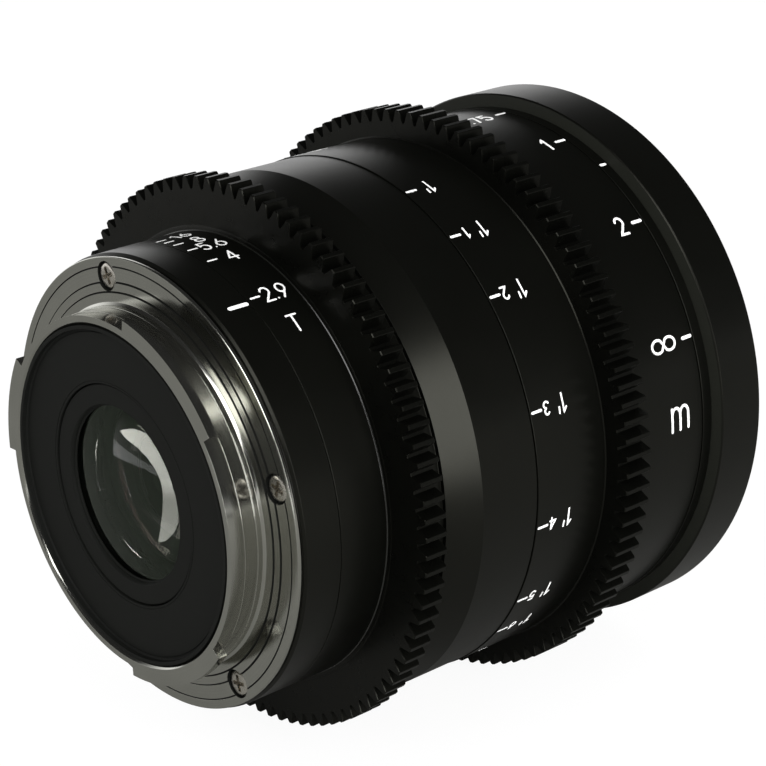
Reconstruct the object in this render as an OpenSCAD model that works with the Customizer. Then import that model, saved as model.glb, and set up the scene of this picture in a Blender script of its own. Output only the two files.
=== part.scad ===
// Cinema prime lens with a bayonet mount, seen along its optical axis.
// The axis runs along +Y from the mount seat at y = 0 to the filter rim, and +Z is up.
// Angles round the axis are counted from +Z towards +X.

/* [Bayonet mount] */
// Reach of the flange lip beyond the flange body
lip_reach = 0.4; // [0.1:0.1:0.6]
// Thickness of the flange lip
flange_lip_t = 0.5; // [0.4:0.1:0.8]
// Thickness of the flange from its seat to the shim
flange_t = 2; // [1.6:0.1:2.6]
// Distance of the screw centres from the bayonet sleeve
sleeve_room = 4.1; // [3:0.1:5]
// Wall of the bayonet sleeve
sleeve_wall = 1.4; // [1:0.1:1.8]
// Length of the sleeve behind the seat
sleeve_len = 5.6; // [5:0.1:7]
// Reach of the lugs beyond the sleeve
lug_reach = 1.5; // [1:0.1:1.8]
// Thickness of the lugs along the axis
lug_t = 1.4; // [1:0.1:2]
// Radius of the lock pin hole
lock_hole_r = 1.4; // [1:0.1:1.6]
// Distance of the screw centres from the edge of the flange body
screw_edge = 2.3; // [2.3:0.1:2.8]
// Head radius of the mount screws
screw_head_r = 1.8; // [1.4:0.05:1.85]
// Head height of the mount screws
screw_head_h = 1.2; // [0.9:0.1:1.3]
// Thread radius of the mount screws
screw_r = 1; // [0.7:0.1:1.1]
// Depth of the mount screws in the rear barrel
screw_depth = 2.4; // [1.5:0.1:2.8]
// Thickness of the back focus shim
shim_t = 0.1; // [0.05:0.05:0.3]

/* [Rear optics] */
// Radius of the opening in the rear retainer
rear_open_r = 12.9; // [11.5:0.1:13]
// Radius of the rear glass
rear_glass_r = 14; // [13.6:0.1:14.4]
// Wall of the rear cell round its glass
rear_cell_wall = 1.75; // [1.2:0.05:2.4]
// Edge thickness of the rear elements
rear_glass_t = 3.4; // [2.8:0.1:3.6]
// Length of the spacer between the rear elements
rear_spacer_len = 2.5; // [2:0.1:2.8]
// Thickness of the rear retainer
rear_retainer_t = 1; // [0.8:0.1:1.6]
// Thickness of the rear baffle plate
baffle_t = 1; // [0.6:0.1:1.2]
// Depth of the baffle plate inside the sleeve's end
baffle_sink = 0.9; // [0.4:0.1:1.2]

/* [Barrel] */
// Step from the flange lip out to the rear barrel and the iris scale
barrel_step = 0.3; // [0.1:0.1:0.8]
// Wall of the rear barrel and the iris ring round the main tube
rear_wall = 2.8; // [2.4:0.1:3.4]
// Length of the rear barrel in front of the shim
rear_len = 4.8; // [4.2:0.1:6]
// Wall of the main tube
tube_wall = 2.5; // [2:0.1:2.6]
// Step from the mid barrel out to the focus ring
mid_step = 0.15; // [0:0.05:0.8]
// Rise of the mid barrel's cone
cone_rise = 3.05; // [1.5:0.05:4]
// Length of the cone
cone_len = 7.8; // [6:0.1:9]
// Length of the straight part of the mid barrel
mid_len = 10; // [8:0.1:13]
// Wall of the outer shells
shell_wall = 2.5; // [1.8:0.1:2.8]
// Axial gap at each turning ring
ring_gap = 0.1; // [0.05:0.05:0.2]

/* [Iris ring] */
// Length of the iris scale behind its gear
iris_band_len = 7.9; // [7:0.1:9]
// Step from the iris scale up to the gear's seat
iris_step = 0.7; // [0.4:0.1:1]
// Height of the iris gear's pitch circle above its seat
iris_gear_rise = 6.2; // [4:0.1:7]
// Turn of the iris ring from open to closed, in degrees
iris_throw = 50; // [40:1:55]

/* [Focus ring] */
// Radius of the focus ring behind its gear
focus_r = 39; // [35:0.1:44]
// Step up to the part in front of the gear
focus_step = 0.5; // [0.2:0.1:0.8]
// Length of the focus ring behind the gear
focus_rear_len = 13; // [11:0.1:15]
// Length of the focus ring in front of the gear
focus_front_len = 14.7; // [12:0.1:17]
// Height of the focus gear's pitch circle above the focus ring
focus_gear_rise = 3.4; // [2.4:0.1:5]
// Turn of the focus ring from the shown place to infinity, in degrees
focus_to_far = 42; // [30:1:45]
// Turn of the focus ring from the shown place to its near stop, in degrees
focus_to_near = 225; // [200:1:235]
// Travel of the focus group over the whole throw
focus_travel = 4; // [2:0.1:5]
// Room between the helicoid sleeve and the focus ring's shell
helicoid_room = 3.35; // [2:0.05:4]
// Wall of the helicoid sleeve
helicoid_wall = 3.2; // [2.8:0.1:3.4]

/* [Gears] */
// Module of both gears
gear_module = 0.8; // [0.79:0.01:0.82]
// Width of the iris gear
iris_gear_w = 3.7; // [3:0.1:5]
// Width of the focus gear
focus_gear_w = 4.8; // [4:0.1:6]

/* [Front] */
// Step from the focus ring out to the index band
band_step = 0.1; // [0:0.05:0.6]
// Length of the index band
band_len = 1.9; // [1.4:0.1:2.6]
// Step from the index band out to the front ring
front_step = 2; // [1:0.1:4]
// Length of the front ring
front_len = 8.4; // [8.1:0.1:10]
// Wall of the front ring round the filter thread
filter_wall = 3.1; // [2:0.1:4]
// Depth of the filter thread
filter_depth = 3; // [2.5:0.1:3.5]
// Edge chamfer of the outer rings
edge_chamfer = 0.4; // [0.2:0.1:0.6]

/* [Front optics] */
// Edge thickness of the front element
front_glass_t = 2.7; // [2.5:0.1:3]
// Rise of the front element's outer face
front_glass_rise = 2; // [1.5:0.1:2.4]
// Wall of the front cell round the second element
second_wall = 4.86; // [3:0.02:7]
// Edge thickness of the second element
second_glass_t = 4; // [3.5:0.1:4.5]
// Wall of the front cell's collar round the front element
front_collar_wall = 4; // [3:0.1:5]
// Thickness of the front retainer
front_retainer_t = 1; // [0.6:0.1:1.2]

/* [Focus group] */
// Room between the focus group at its near stop and the front cell
tail_gap = 2.3; // [0.5:0.1:4]
// Length of the focus cell
focus_cell_len = 22; // [20:0.1:22.5]
// Wall of the focus cell's sliding tube
focus_tube_wall = 2.8; // [2:0.1:3.5]
// Radius of the focus group's glass
focus_glass_r = 17; // [15:0.1:18]
// Edge thickness of the focus group's glass
focus_glass_t = 3; // [2.5:0.1:3.2]
// Length of the spacer between them
focus_spacer_len = 5; // [4.5:0.1:5.2]
// Wall of the focus cell round its glass
focus_hub_wall = 3; // [2:0.1:3.6]
// Radius of the drive key and the guide pins
key_r = 1.4; // [1:0.1:1.5]

/* [Iris diaphragm] */
// Distance of the iris plate from the mount seat
iris_plate_y = 10; // [9.8:0.1:10.6]
// Radius of the open aperture
aperture_r = 9; // [8:0.1:9.2]
// Radius of the closed aperture
aperture_min_r = 1.2; // [0.8:0.1:2]
// Width of the blades
blade_w = 6; // [5.6:0.1:6.4]
// Thickness of the blades
blade_t = 0.2; // [0.1:0.05:0.25]
// Radius of the blade pins
blade_pin_r = 0.6; // [0.5:0.05:0.65]
// Length of the blade levers
lever_len = 5; // [4.6:0.1:5.5]
// Thickness of the iris plate
iris_plate_t = 1.2; // [0.8:0.1:1.3]
// Thickness of the iris cam ring
cam_ring_t = 2.8; // [2.4:0.1:3]
// Radius of the pin between the iris ring and the cam ring
drive_pin_r = 0.9; // [0.7:0.1:1]

/* [Hidden] */
$fn = 96;
// Clearances: turning and sliding fits, seats within one body, free play in slots
run_fit = 0.05;
seat_fit = 0.02;
slot_play = 0.1;
eps = 0.01;
// Length by which a cut passes a face, and by which joined shapes meet
overcut = 1;
// Sides that keep the shallow lens faces smooth
sphere_sides = 360;

// Places of features round the axis, in degrees
LUGS = [[7, 53], [125, 176], [266, 299]];
SCREW_ANGLES = [-16, 71, 141, 235];
LOCK_HOLE_ANGLE = 205;
key_angle = 180;
GUIDE_TURNS = [0, 120, 240];
drive_pin_angle = 180;

// Stations along the axis
y_seat = flange_t + shim_t;
lip_gap = 0.4;
y_rear = flange_lip_t + lip_gap;
tube_seat_len = 3.2;
y_tube = y_seat + tube_seat_len;
y_iris = y_seat + rear_len + ring_gap;
y_iris_gear = y_iris + iris_band_len;
y_mid = y_iris_gear + iris_gear_w + ring_gap;
y_cone_end = y_mid + cone_len;
y_focus = y_cone_end + mid_len + ring_gap;
y_focus_gear = y_focus + focus_rear_len;
y_focus_front = y_focus_gear + focus_gear_w;
y_focus_end = y_focus_front + focus_front_len;
y_band = y_focus_end + ring_gap;
y_front = y_band + band_len;
y_rim = y_front + front_len;

// Radii from the focus ring inwards, then out again at the mount
helicoid_r = focus_r - shell_wall - helicoid_room;
run_r = helicoid_r - helicoid_wall;
tube_r = run_r - run_fit;
bore_r = tube_r - tube_wall;
on_tube_r = tube_r + seat_fit;
in_bore_r = bore_r - seat_fit;
slide_r = bore_r - run_fit;
barrel_r = tube_r + rear_wall;
flange_r = barrel_r - barrel_step;
flange_body_r = flange_r - lip_reach;

// Radii of the mid barrel and of the front, from the focus ring's
mid_r = focus_r - mid_step;
cone_foot_r = mid_r - cone_rise;
band_r = focus_r + focus_step + band_step;
front_r = band_r + front_step;
filter_r = front_r - filter_wall;

// Bayonet mount
screw_circle_r = flange_body_r - screw_edge;
sleeve_r = screw_circle_r - sleeve_room;
sleeve_in = sleeve_r - sleeve_wall;
head_play = 0.3;
recess_w = 0.5;
recess_half = 1.1;
recess_depth = 0.6;

// Rear group, from its retainer forwards
rear_cell_r = rear_glass_r + rear_cell_wall;
baffle_gap = 0.15;
baffle_skirt = 2.4;
baffle_wall = 0.55;
baffle_rim = 0.1;
retainer_sink = 0.2;
y_baffle = -sleeve_len + baffle_sink;
y_retainer = y_baffle + retainer_sink;
y_rear_glass = y_retainer + rear_retainer_t;
y_rear_spacer = y_rear_glass + rear_glass_t;
y_inner_glass = y_rear_spacer + rear_spacer_len;
y_rear_shoulder = y_inner_glass + rear_glass_t;
shoulder_t = 1.2;
rear_flange_t = 3;
glass_rim = 1.5;
rear_rise = 0.6;
rear_hollow = 2.4;
inner_rise = 1.6;

// Gear teeth: flank angle, and height above and below the pitch circle in modules
flank_angle = 20;
addendum = 1;
dedendum = 1.25;
iris_seat_r = barrel_r + iris_step;
iris_teeth = round(2 * (iris_seat_r + iris_gear_rise) / gear_module);
focus_teeth = round(2 * (focus_r + focus_gear_rise) / gear_module);

// Iris diaphragm
blade_count = 5;
blade_clear = 0.4;
blade_in = aperture_r + blade_clear;
blade_out = blade_in + blade_w;
blade_span = 145;
blade_play = 0.15;
pivot_gap = 1;
pivot_r = blade_out + blade_pin_r + pivot_gap;
blade_swing = 2 * asin((blade_in - aperture_min_r) / (2 * pivot_r));
boss_wall = 0.7;
blade_boss_r = blade_pin_r + boss_wall;
pin_inset = 0.2;
y_blades = iris_plate_y + iris_plate_t + blade_play;
blade_pitch = blade_t + blade_play;
y_cam = y_blades + blade_count * blade_pitch;
cam_set_back = 3;
cam_in = pivot_r - cam_set_back;
cam_steps = 12;
share_step = 0.01;
iris_retainer_t = 1;
y_iris_retainer = y_cam + cam_ring_t + ring_gap;
y_drive_pin = y_cam + cam_ring_t / 2;
drive_pin_in = pivot_r + lever_len;
pin_cover = 0.5;
drive_pin_out = barrel_r - pin_cover;
pin_slot_play = 0.25;
slot_turn = 1;

// Focus drive: one helical groove turns the ring's motion into the group's travel
focus_throw = focus_to_far + focus_to_near;
travel_per_degree = focus_travel / focus_throw;
travel_back = focus_to_far * travel_per_degree;
travel_ahead = focus_to_near * travel_per_degree;
key_reach = 1.9;
key_out = run_r + key_reach;
groove_play = 0.3;
groove_floor = key_out + groove_play;
groove_half_w = key_r + slot_play;
groove_overrun = 4;
groove_steps = 60;
web_extra = 0.4;
web_len = cone_len + web_extra;
y_helicoid = y_mid + web_len + ring_gap;
focus_web_len = 7;

// Front group
floor_t = 1;
seat_step = 0.6;
thread_step = 1;
retainer_hold = 1;
front_collar_r = filter_r - thread_step - retainer_hold;
front_glass_r = front_collar_r - front_collar_wall;
front_hollow = 3.4;
y_thread = y_rim - filter_depth;
y_front_shoulder = y_band + floor_t;
y_front_glass = y_front_shoulder + seat_step;
y_front_retainer = y_front_glass + front_glass_t;
front_tail_len = 11.5;
y_front_tail = y_band - front_tail_len;
front_shoulder_t = 3.7;
y_second_glass = y_front_tail + front_shoulder_t;
y_second_retainer = y_second_glass + second_glass_t;
second_retainer_t = 1.5;
second_glass_r = in_bore_r - seat_fit - second_wall;
second_hollow = 4.4;
second_rise = 2.6;

// Focus group, from its shoulder forwards
focus_cell_end = y_front_tail - tail_gap - travel_ahead;
focus_cell_y = focus_cell_end - focus_cell_len;
key_offset = 10;
y_key = focus_cell_y + key_offset;
focus_hub_r = focus_glass_r + focus_hub_wall;
focus_retainer_t = 2;
focus_web_half = 2;
hub_offset = 3.6;
focus_rear_bend = 1.6;
focus_back_rise = 2;
focus_fore_rise = 2.6;
y_focus_hub = focus_cell_y + hub_offset;
y_back_lens = y_focus_hub + shoulder_t;
y_focus_spacer = y_back_lens + focus_glass_t;
y_fore_lens = y_focus_spacer + focus_spacer_len;
y_focus_retainer = y_fore_lens + focus_glass_t;
y_focus_hub_end = y_focus_retainer + focus_retainer_t;

black = [0.06, 0.06, 0.065];
chrome = [0.78, 0.78, 0.76];
steel = [0.62, 0.61, 0.58];
brass = [0.72, 0.58, 0.32];
glass = [0.55, 0.68, 0.62, 0.5];

// Turns local +Z into the optical axis +Y
module on_axis() {
    rotate([-90, 0, 0]) children();
}

// Turns local +X to an angle round the axis, counted from +Z towards +X
module at_angle(angle) {
    rotate([0, 0, angle - 90]) children();
}

module ring(outer, inner, from, to) {
    difference() {
        translate([0, 0, from]) cylinder(r = outer, h = to - from);
        translate([0, 0, from - overcut]) cylinder(r = inner, h = to - from + 2 * overcut);
    }
}

// Turned part from a half profile of [radius, station] points
module turned(profile) {
    rotate_extrude() polygon(profile);
}

// Slice of a ring between two angles
module ring_slice(outer, inner, from, to, angles) {
    at_angle(angles[0])
        rotate_extrude(angle = angles[1] - angles[0])
            polygon([[inner, from], [outer, from], [outer, to], [inner, to]]);
}

// Round hole or pin along a radius
module radial_pin(radius, inner, outer, y, angle) {
    at_angle(angle)
        translate([inner, 0, y]) rotate([0, 90, 0]) cylinder(r = radius, h = outer - inner);
}

// Slot with round ends, cut along the axis through a wall
module axial_slot(half_w, inner, outer, from, to, angle) {
    radial_pin(half_w, inner, outer, from, angle);
    radial_pin(half_w, inner, outer, to, angle);
    at_angle(angle)
        translate([inner, -half_w, from]) cube([outer - inner, 2 * half_w, to - from]);
}

// Spherical cap of a base radius and a rise, on the plane at z = 0
module cap(base, rise) {
    sphere_r = (base * base + rise * rise) / (2 * rise);
    intersection() {
        translate([0, 0, rise - sphere_r]) sphere(r = sphere_r, $fn = sphere_sides);
        cylinder(r = base + overcut, h = rise + overcut);
    }
}

// Lens element with a flat rim: a positive face bulges out, a negative one is hollow
module element(radius, edge_t, back, fore, from) {
    base = radius - glass_rim;
    translate([0, 0, from]) difference() {
        union() {
            cylinder(r = radius, h = edge_t);
            if (fore > 0) translate([0, 0, edge_t]) cap(base, fore);
            if (back > 0) mirror([0, 0, 1]) cap(base, back);
        }
        if (fore < 0) translate([0, 0, edge_t + eps]) mirror([0, 0, 1]) cap(base, eps - fore);
        if (back < 0) translate([0, 0, -eps]) cap(base, eps - back);
    }
}

module bayonet_mount() {
    sleeve_seat = sleeve_r + seat_fit;
    color(chrome) on_axis() difference() {
        union() {
            ring(flange_r, sleeve_seat, 0, flange_lip_t);
            ring(flange_body_r, sleeve_seat, 0, flange_t);
        }
        for (angle = SCREW_ANGLES) at_angle(angle) translate([screw_circle_r, 0, -overcut]) {
            cylinder(r = screw_head_r + head_play, h = overcut + screw_head_h);
            cylinder(r = screw_r + slot_play, h = flange_t + 2 * overcut);
        }
        at_angle(LOCK_HOLE_ANGLE) translate([screw_circle_r, 0, -overcut])
            cylinder(r = lock_hole_r, h = flange_t + 2 * overcut);
    }
}

module bayonet_sleeve() {
    lug_r = sleeve_r + lug_reach;
    lug_root = sleeve_r - sleeve_wall / 2;
    color(chrome) on_axis() {
        ring(sleeve_r, sleeve_in, -sleeve_len, flange_t);
        for (lug = LUGS) ring_slice(lug_r, lug_root, -sleeve_len, lug_t - sleeve_len, lug);
    }
}

module mount_screws() {
    color(steel) on_axis() for (angle = SCREW_ANGLES)
        at_angle(angle) translate([screw_circle_r, 0, 0]) difference() {
            union() {
                cylinder(r = screw_head_r, h = screw_head_h);
                cylinder(r = screw_r, h = y_seat + screw_depth);
            }
            for (turn = [0, 90]) rotate([0, 0, turn])
                translate([-recess_half, -recess_w / 2, -overcut])
                    cube([2 * recess_half, recess_w, overcut + recess_depth]);
        }
}

module mount_shim() {
    color(brass) on_axis() difference() {
        ring(flange_body_r, sleeve_in, flange_t, y_seat);
        for (angle = SCREW_ANGLES) at_angle(angle)
            translate([screw_circle_r, 0, 0]) cylinder(r = screw_r + slot_play, h = y_seat + overcut);
    }
}

module rear_baffle() {
    outer = sleeve_in - seat_fit;
    color(black) on_axis() {
        ring(outer, rear_cell_r + baffle_gap, y_baffle, y_baffle + baffle_t);
        ring(outer, outer - baffle_wall, baffle_rim - sleeve_len, y_baffle + baffle_t + baffle_skirt);
    }
}

module rear_retainer() {
    inner = rear_glass_r - glass_rim;
    color(black) on_axis() turned([
        [rear_open_r, y_retainer], [rear_cell_r, y_retainer], [rear_cell_r, y_rear_glass], [inner, y_rear_glass]
    ]);
}

module rear_cell() {
    bore = rear_glass_r + seat_fit;
    color(black) on_axis() {
        ring(rear_cell_r, bore, y_rear_glass, y_rear_shoulder);
        ring(rear_cell_r, rear_glass_r - glass_rim, y_rear_shoulder, y_rear_shoulder + shoulder_t);
        ring(in_bore_r, rear_cell_r - rear_cell_wall / 2, y_seat, y_seat + rear_flange_t);
    }
}

module rear_element() {
    color(glass) on_axis() element(rear_glass_r, rear_glass_t, rear_rise, -rear_hollow, y_rear_glass);
}

module rear_spacer() {
    color(black) on_axis() ring(rear_glass_r, rear_glass_r - glass_rim, y_rear_spacer, y_inner_glass);
}

module rear_inner_element() {
    color(glass) on_axis() element(rear_glass_r, rear_glass_t, inner_rise, inner_rise, y_inner_glass);
}

module rear_barrel() {
    top = y_seat + rear_len;
    color(black) on_axis() difference() {
        turned([
            [bore_r, y_seat], [flange_body_r + seat_fit, y_seat], [flange_body_r + seat_fit, y_rear],
            [barrel_r - edge_chamfer, y_rear], [barrel_r, y_rear + edge_chamfer], [barrel_r, top],
            [on_tube_r, top], [on_tube_r, y_tube], [bore_r, y_tube]
        ]);
        for (angle = SCREW_ANGLES) at_angle(angle) translate([screw_circle_r, 0, y_seat - overcut])
            cylinder(r = screw_r + seat_fit, h = overcut + screw_depth + slot_play);
    }
}

module main_tube() {
    half_w = key_r + run_fit;
    from = y_key - travel_back - slot_play;
    to = y_key + travel_ahead + slot_play;
    pin_half = drive_pin_r + pin_slot_play;
    pin_turn = asin(pin_half / bore_r) + slot_turn;
    color(black) on_axis() difference() {
        ring(tube_r, bore_r, y_tube, y_band);
        for (turn = GUIDE_TURNS)
            axial_slot(half_w, bore_r - overcut, tube_r + overcut, from, to, key_angle + turn);
        ring_slice(tube_r + overcut, bore_r - overcut, y_drive_pin - pin_half, y_drive_pin + pin_half,
            [drive_pin_angle - pin_turn, drive_pin_angle + iris_throw + pin_turn]);
    }
}

module mid_barrel() {
    end = y_focus - ring_gap;
    color(black) on_axis() turned([
        [on_tube_r, y_mid], [cone_foot_r, y_mid], [mid_r, y_cone_end], [mid_r, end],
        [mid_r - shell_wall, end], [mid_r - shell_wall, y_mid + web_len], [on_tube_r, y_mid + web_len]
    ]);
}

module iris_ring() {
    color(black) on_axis() difference() {
        union() {
            ring(barrel_r, run_r, y_iris, y_iris_gear + iris_gear_w / 2);
            ring(iris_seat_r, run_r, y_iris_gear, y_iris_gear + iris_gear_w);
        }
        radial_pin(drive_pin_r + seat_fit, run_r - overcut, drive_pin_out, y_drive_pin, drive_pin_angle);
    }
}

// Straight flanked teeth, as an outline round the axis
function tooth_half(height) = gear_module * PI / 4 - height * tan(flank_angle);
function gear_outline(teeth) = [
    for (i = [0 : teeth - 1], side = [[-1, -dedendum], [-1, addendum], [1, addendum], [1, -dedendum]])
        let (
            height = side[1] * gear_module,
            radius = gear_module * teeth / 2 + height,
            angle = i * 360 / teeth + side[0] * atan(tooth_half(height) / radius)
        )
        [radius * cos(angle), radius * sin(angle)]
];

module gear_ring(teeth, inner, width, from) {
    translate([0, 0, from]) difference() {
        linear_extrude(width) polygon(gear_outline(teeth));
        translate([0, 0, -overcut]) cylinder(r = inner, h = width + 2 * overcut);
    }
}

module iris_gear() {
    color(black) on_axis() gear_ring(iris_teeth, iris_seat_r + seat_fit, iris_gear_w, y_iris_gear);
}

module iris_drive_pin() {
    color(steel) on_axis() radial_pin(drive_pin_r, drive_pin_in, drive_pin_out, y_drive_pin, drive_pin_angle);
}

// Place of a blade's lever pin, for a share of the closing turn, with its pivot at angle 0
function lever_pin(share) = let (angle = -90 + blade_swing * (share - 0.5))
    [pivot_r + lever_len * cos(angle), lever_len * sin(angle)];
function turn_point(point, angle) = [
    point[0] * cos(angle) - point[1] * sin(angle),
    point[0] * sin(angle) + point[1] * cos(angle)
];
// The same pin seen from the cam ring, which turns under it
function cam_point(share) = turn_point(lever_pin(share), -iris_throw * share);
function cam_normal(share) = let (
        step = cam_point(share + share_step) - cam_point(share - share_step),
        size = norm(step)
    )
    [-step[1] / size, step[0] / size];

module cam_slot() {
    half_w = blade_pin_r + slot_play;
    height = cam_ring_t + 2 * overcut;
    shares = [for (i = [0 : cam_steps]) i / cam_steps];
    back_shares = [for (i = [0 : cam_steps]) 1 - i / cam_steps];
    linear_extrude(height) polygon(concat(
        [for (share = shares) cam_point(share) + half_w * cam_normal(share)],
        [for (share = back_shares) cam_point(share) - half_w * cam_normal(share)]
    ));
    for (share = [0, 1]) translate(cam_point(share)) cylinder(r = half_w, h = height);
}

module iris_cam_ring() {
    color(steel) on_axis() difference() {
        ring(slide_r, cam_in, y_cam, y_cam + cam_ring_t);
        for (i = [0 : blade_count - 1]) rotate([0, 0, i * 360 / blade_count])
            translate([0, 0, y_cam - overcut]) cam_slot();
        radial_pin(drive_pin_r + seat_fit, drive_pin_in, slide_r + overcut, y_drive_pin, drive_pin_angle);
    }
}

module iris_plate() {
    color(black) on_axis() difference() {
        ring(in_bore_r, aperture_r, iris_plate_y, iris_plate_y + iris_plate_t);
        for (i = [0 : blade_count - 1]) rotate([0, 0, i * 360 / blade_count])
            translate([pivot_r, 0, iris_plate_y - overcut])
                cylinder(r = blade_pin_r + run_fit, h = iris_plate_t + 2 * overcut);
    }
}

module iris_retainer() {
    color(black) on_axis() ring(in_bore_r, cam_in, y_iris_retainer, y_iris_retainer + iris_retainer_t);
}

// Flat bar between two points, for the blade's lever and neck
module bar(from, to, width) {
    along = to - from;
    translate(from) rotate([0, 0, atan2(along[1], along[0])])
        translate([0, -width / 2, 0]) cube([norm(along), width, blade_t]);
}

// Blade number i, with its pivot pin to the rear and its lever pin to the front
module iris_blade(i) {
    level = y_blades + i * blade_pitch;
    lever = lever_pin(0);
    neck = [blade_out - blade_w / 2, 0];
    pin_back = iris_plate_y + pin_inset;
    pin_fore = y_cam + cam_ring_t - pin_inset;
    color(steel) on_axis() rotate([0, 0, i * 360 / blade_count]) {
        translate([0, 0, level]) {
            rotate_extrude(angle = blade_span)
                polygon([[blade_in, 0], [blade_out, 0], [blade_out, blade_t], [blade_in, blade_t]]);
            bar(neck, [pivot_r, 0], 2 * blade_boss_r);
            bar([pivot_r, 0], lever, 2 * blade_pin_r);
            translate([pivot_r, 0, 0]) cylinder(r = blade_boss_r, h = blade_t);
            translate(lever) cylinder(r = blade_boss_r, h = blade_t);
        }
        translate([pivot_r, 0, pin_back]) cylinder(r = blade_pin_r, h = level + blade_t / 2 - pin_back);
        translate([lever[0], lever[1], level + blade_t / 2])
            cylinder(r = blade_pin_r, h = pin_fore - level - blade_t / 2);
    }
}

module focus_ring() {
    inner = focus_r - shell_wall;
    fore = focus_r + focus_step;
    web = y_focus_end - focus_web_len;
    color(black) on_axis() turned([
        [inner, y_focus], [focus_r, y_focus], [focus_r, y_focus_front], [fore, y_focus_front],
        [fore, y_focus_end], [helicoid_r + seat_fit, y_focus_end], [helicoid_r + seat_fit, web], [inner, web]
    ]);
}

module focus_gear() {
    color(black) on_axis() gear_ring(focus_teeth, focus_r + seat_fit, focus_gear_w, y_focus_gear);
}

// Helical groove that the drive key follows, as a swept square channel
module helical_groove() {
    low = key_angle - 90 - focus_to_near - groove_overrun;
    high = key_angle - 90 + focus_to_far + groove_overrun;
    mouth = run_r - overcut;
    corners = [[mouth, -groove_half_w], [groove_floor, -groove_half_w],
        [groove_floor, groove_half_w], [mouth, groove_half_w]];
    points = [for (i = [0 : groove_steps], corner = corners)
        let (
            angle = low + (high - low) * i / groove_steps,
            y = y_key + (key_angle - 90 - angle) * travel_per_degree
        )
        [corner[0] * cos(angle), corner[0] * sin(angle), y + corner[1]]];
    last = 4 * groove_steps;
    sides = [for (i = [0 : groove_steps - 1], j = [0 : 3], half = [0, 1])
        let (a = 4 * i + j, b = 4 * i + (j + 1) % 4)
        half == 0 ? [a, b, b + 4] : [a, b + 4, a + 4]];
    ends = [[3, 2, 1], [3, 1, 0], [last, last + 1, last + 2], [last, last + 2, last + 3]];
    polyhedron(points, concat(sides, ends));
}

module focus_helicoid() {
    color(brass) on_axis() difference() {
        ring(helicoid_r, run_r, y_helicoid, y_focus_end);
        helical_groove();
    }
}

module focus_cell() {
    tube_in = slide_r - focus_tube_wall;
    color(black) on_axis() difference() {
        union() {
            ring(slide_r, tube_in, focus_cell_y, focus_cell_end);
            ring(tube_in + overcut, focus_hub_r - overcut, y_key - focus_web_half, y_key + focus_web_half);
            ring(focus_hub_r, focus_glass_r + seat_fit, y_back_lens, y_focus_hub_end);
            ring(focus_hub_r, focus_glass_r - glass_rim, y_focus_hub, y_back_lens);
        }
        for (turn = GUIDE_TURNS)
            radial_pin(key_r + seat_fit, tube_in, slide_r + overcut, y_key, key_angle + turn);
    }
}

module focus_drive_key() {
    color(steel) on_axis() radial_pin(key_r, slide_r - focus_tube_wall, key_out, y_key, key_angle);
}

module focus_guide_pins() {
    color(steel) on_axis() for (turn = [GUIDE_TURNS[1], GUIDE_TURNS[2]])
        radial_pin(key_r, slide_r - focus_tube_wall, tube_r - slot_play, y_key, key_angle + turn);
}

module focus_rear_element() {
    color(glass) on_axis() element(focus_glass_r, focus_glass_t, -focus_rear_bend, focus_rear_bend, y_back_lens);
}

module focus_spacer() {
    color(black) on_axis() ring(focus_glass_r, focus_glass_r - glass_rim, y_focus_spacer, y_fore_lens);
}

module focus_front_element() {
    color(glass) on_axis() element(focus_glass_r, focus_glass_t, focus_back_rise, focus_fore_rise, y_fore_lens);
}

module focus_retainer() {
    color(black) on_axis() ring(focus_glass_r, focus_glass_r - glass_rim, y_focus_retainer, y_focus_hub_end);
}

module index_band() {
    collar = front_collar_r + seat_fit;
    color(black) on_axis() turned([
        [collar, y_band], [band_r, y_band], [band_r, y_front - edge_chamfer],
        [band_r - edge_chamfer, y_front], [collar, y_front]
    ]);
}

module front_ring() {
    collar = front_collar_r + seat_fit;
    recess = filter_r - thread_step;
    color(black) on_axis() turned([
        [collar, y_front], [front_r - edge_chamfer, y_front], [front_r, y_front + edge_chamfer],
        [front_r, y_rim - edge_chamfer], [front_r - edge_chamfer, y_rim], [filter_r, y_rim],
        [filter_r, y_thread], [recess, y_thread], [recess, y_front_retainer], [collar, y_front_retainer]
    ]);
}

module front_cell() {
    second_in = second_glass_r + seat_fit;
    shoulder = second_glass_r - glass_rim;
    color(black) on_axis() turned([
        [shoulder, y_front_tail], [in_bore_r, y_front_tail], [in_bore_r, y_band], [front_collar_r, y_band],
        [front_collar_r, y_front_retainer], [front_glass_r + seat_fit, y_front_retainer],
        [front_glass_r + seat_fit, y_front_glass], [front_glass_r - glass_rim, y_front_glass],
        [front_glass_r - glass_rim, y_front_shoulder], [second_in, y_front_shoulder],
        [second_in, y_second_glass], [shoulder, y_second_glass]
    ]);
}

module second_element() {
    color(glass) on_axis() element(second_glass_r, second_glass_t, -second_hollow, second_rise, y_second_glass);
}

module second_retainer() {
    top = y_second_retainer + second_retainer_t;
    color(black) on_axis() ring(second_glass_r, second_glass_r - glass_rim, y_second_retainer, top);
}

module front_element() {
    color(glass) on_axis() element(front_glass_r, front_glass_t, -front_hollow, front_glass_rise, y_front_glass);
}

module front_retainer() {
    outer = filter_r - thread_step - seat_fit;
    top = y_front_retainer + front_retainer_t;
    color(black) on_axis() ring(outer, front_glass_r - glass_rim, y_front_retainer, top);
}

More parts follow.
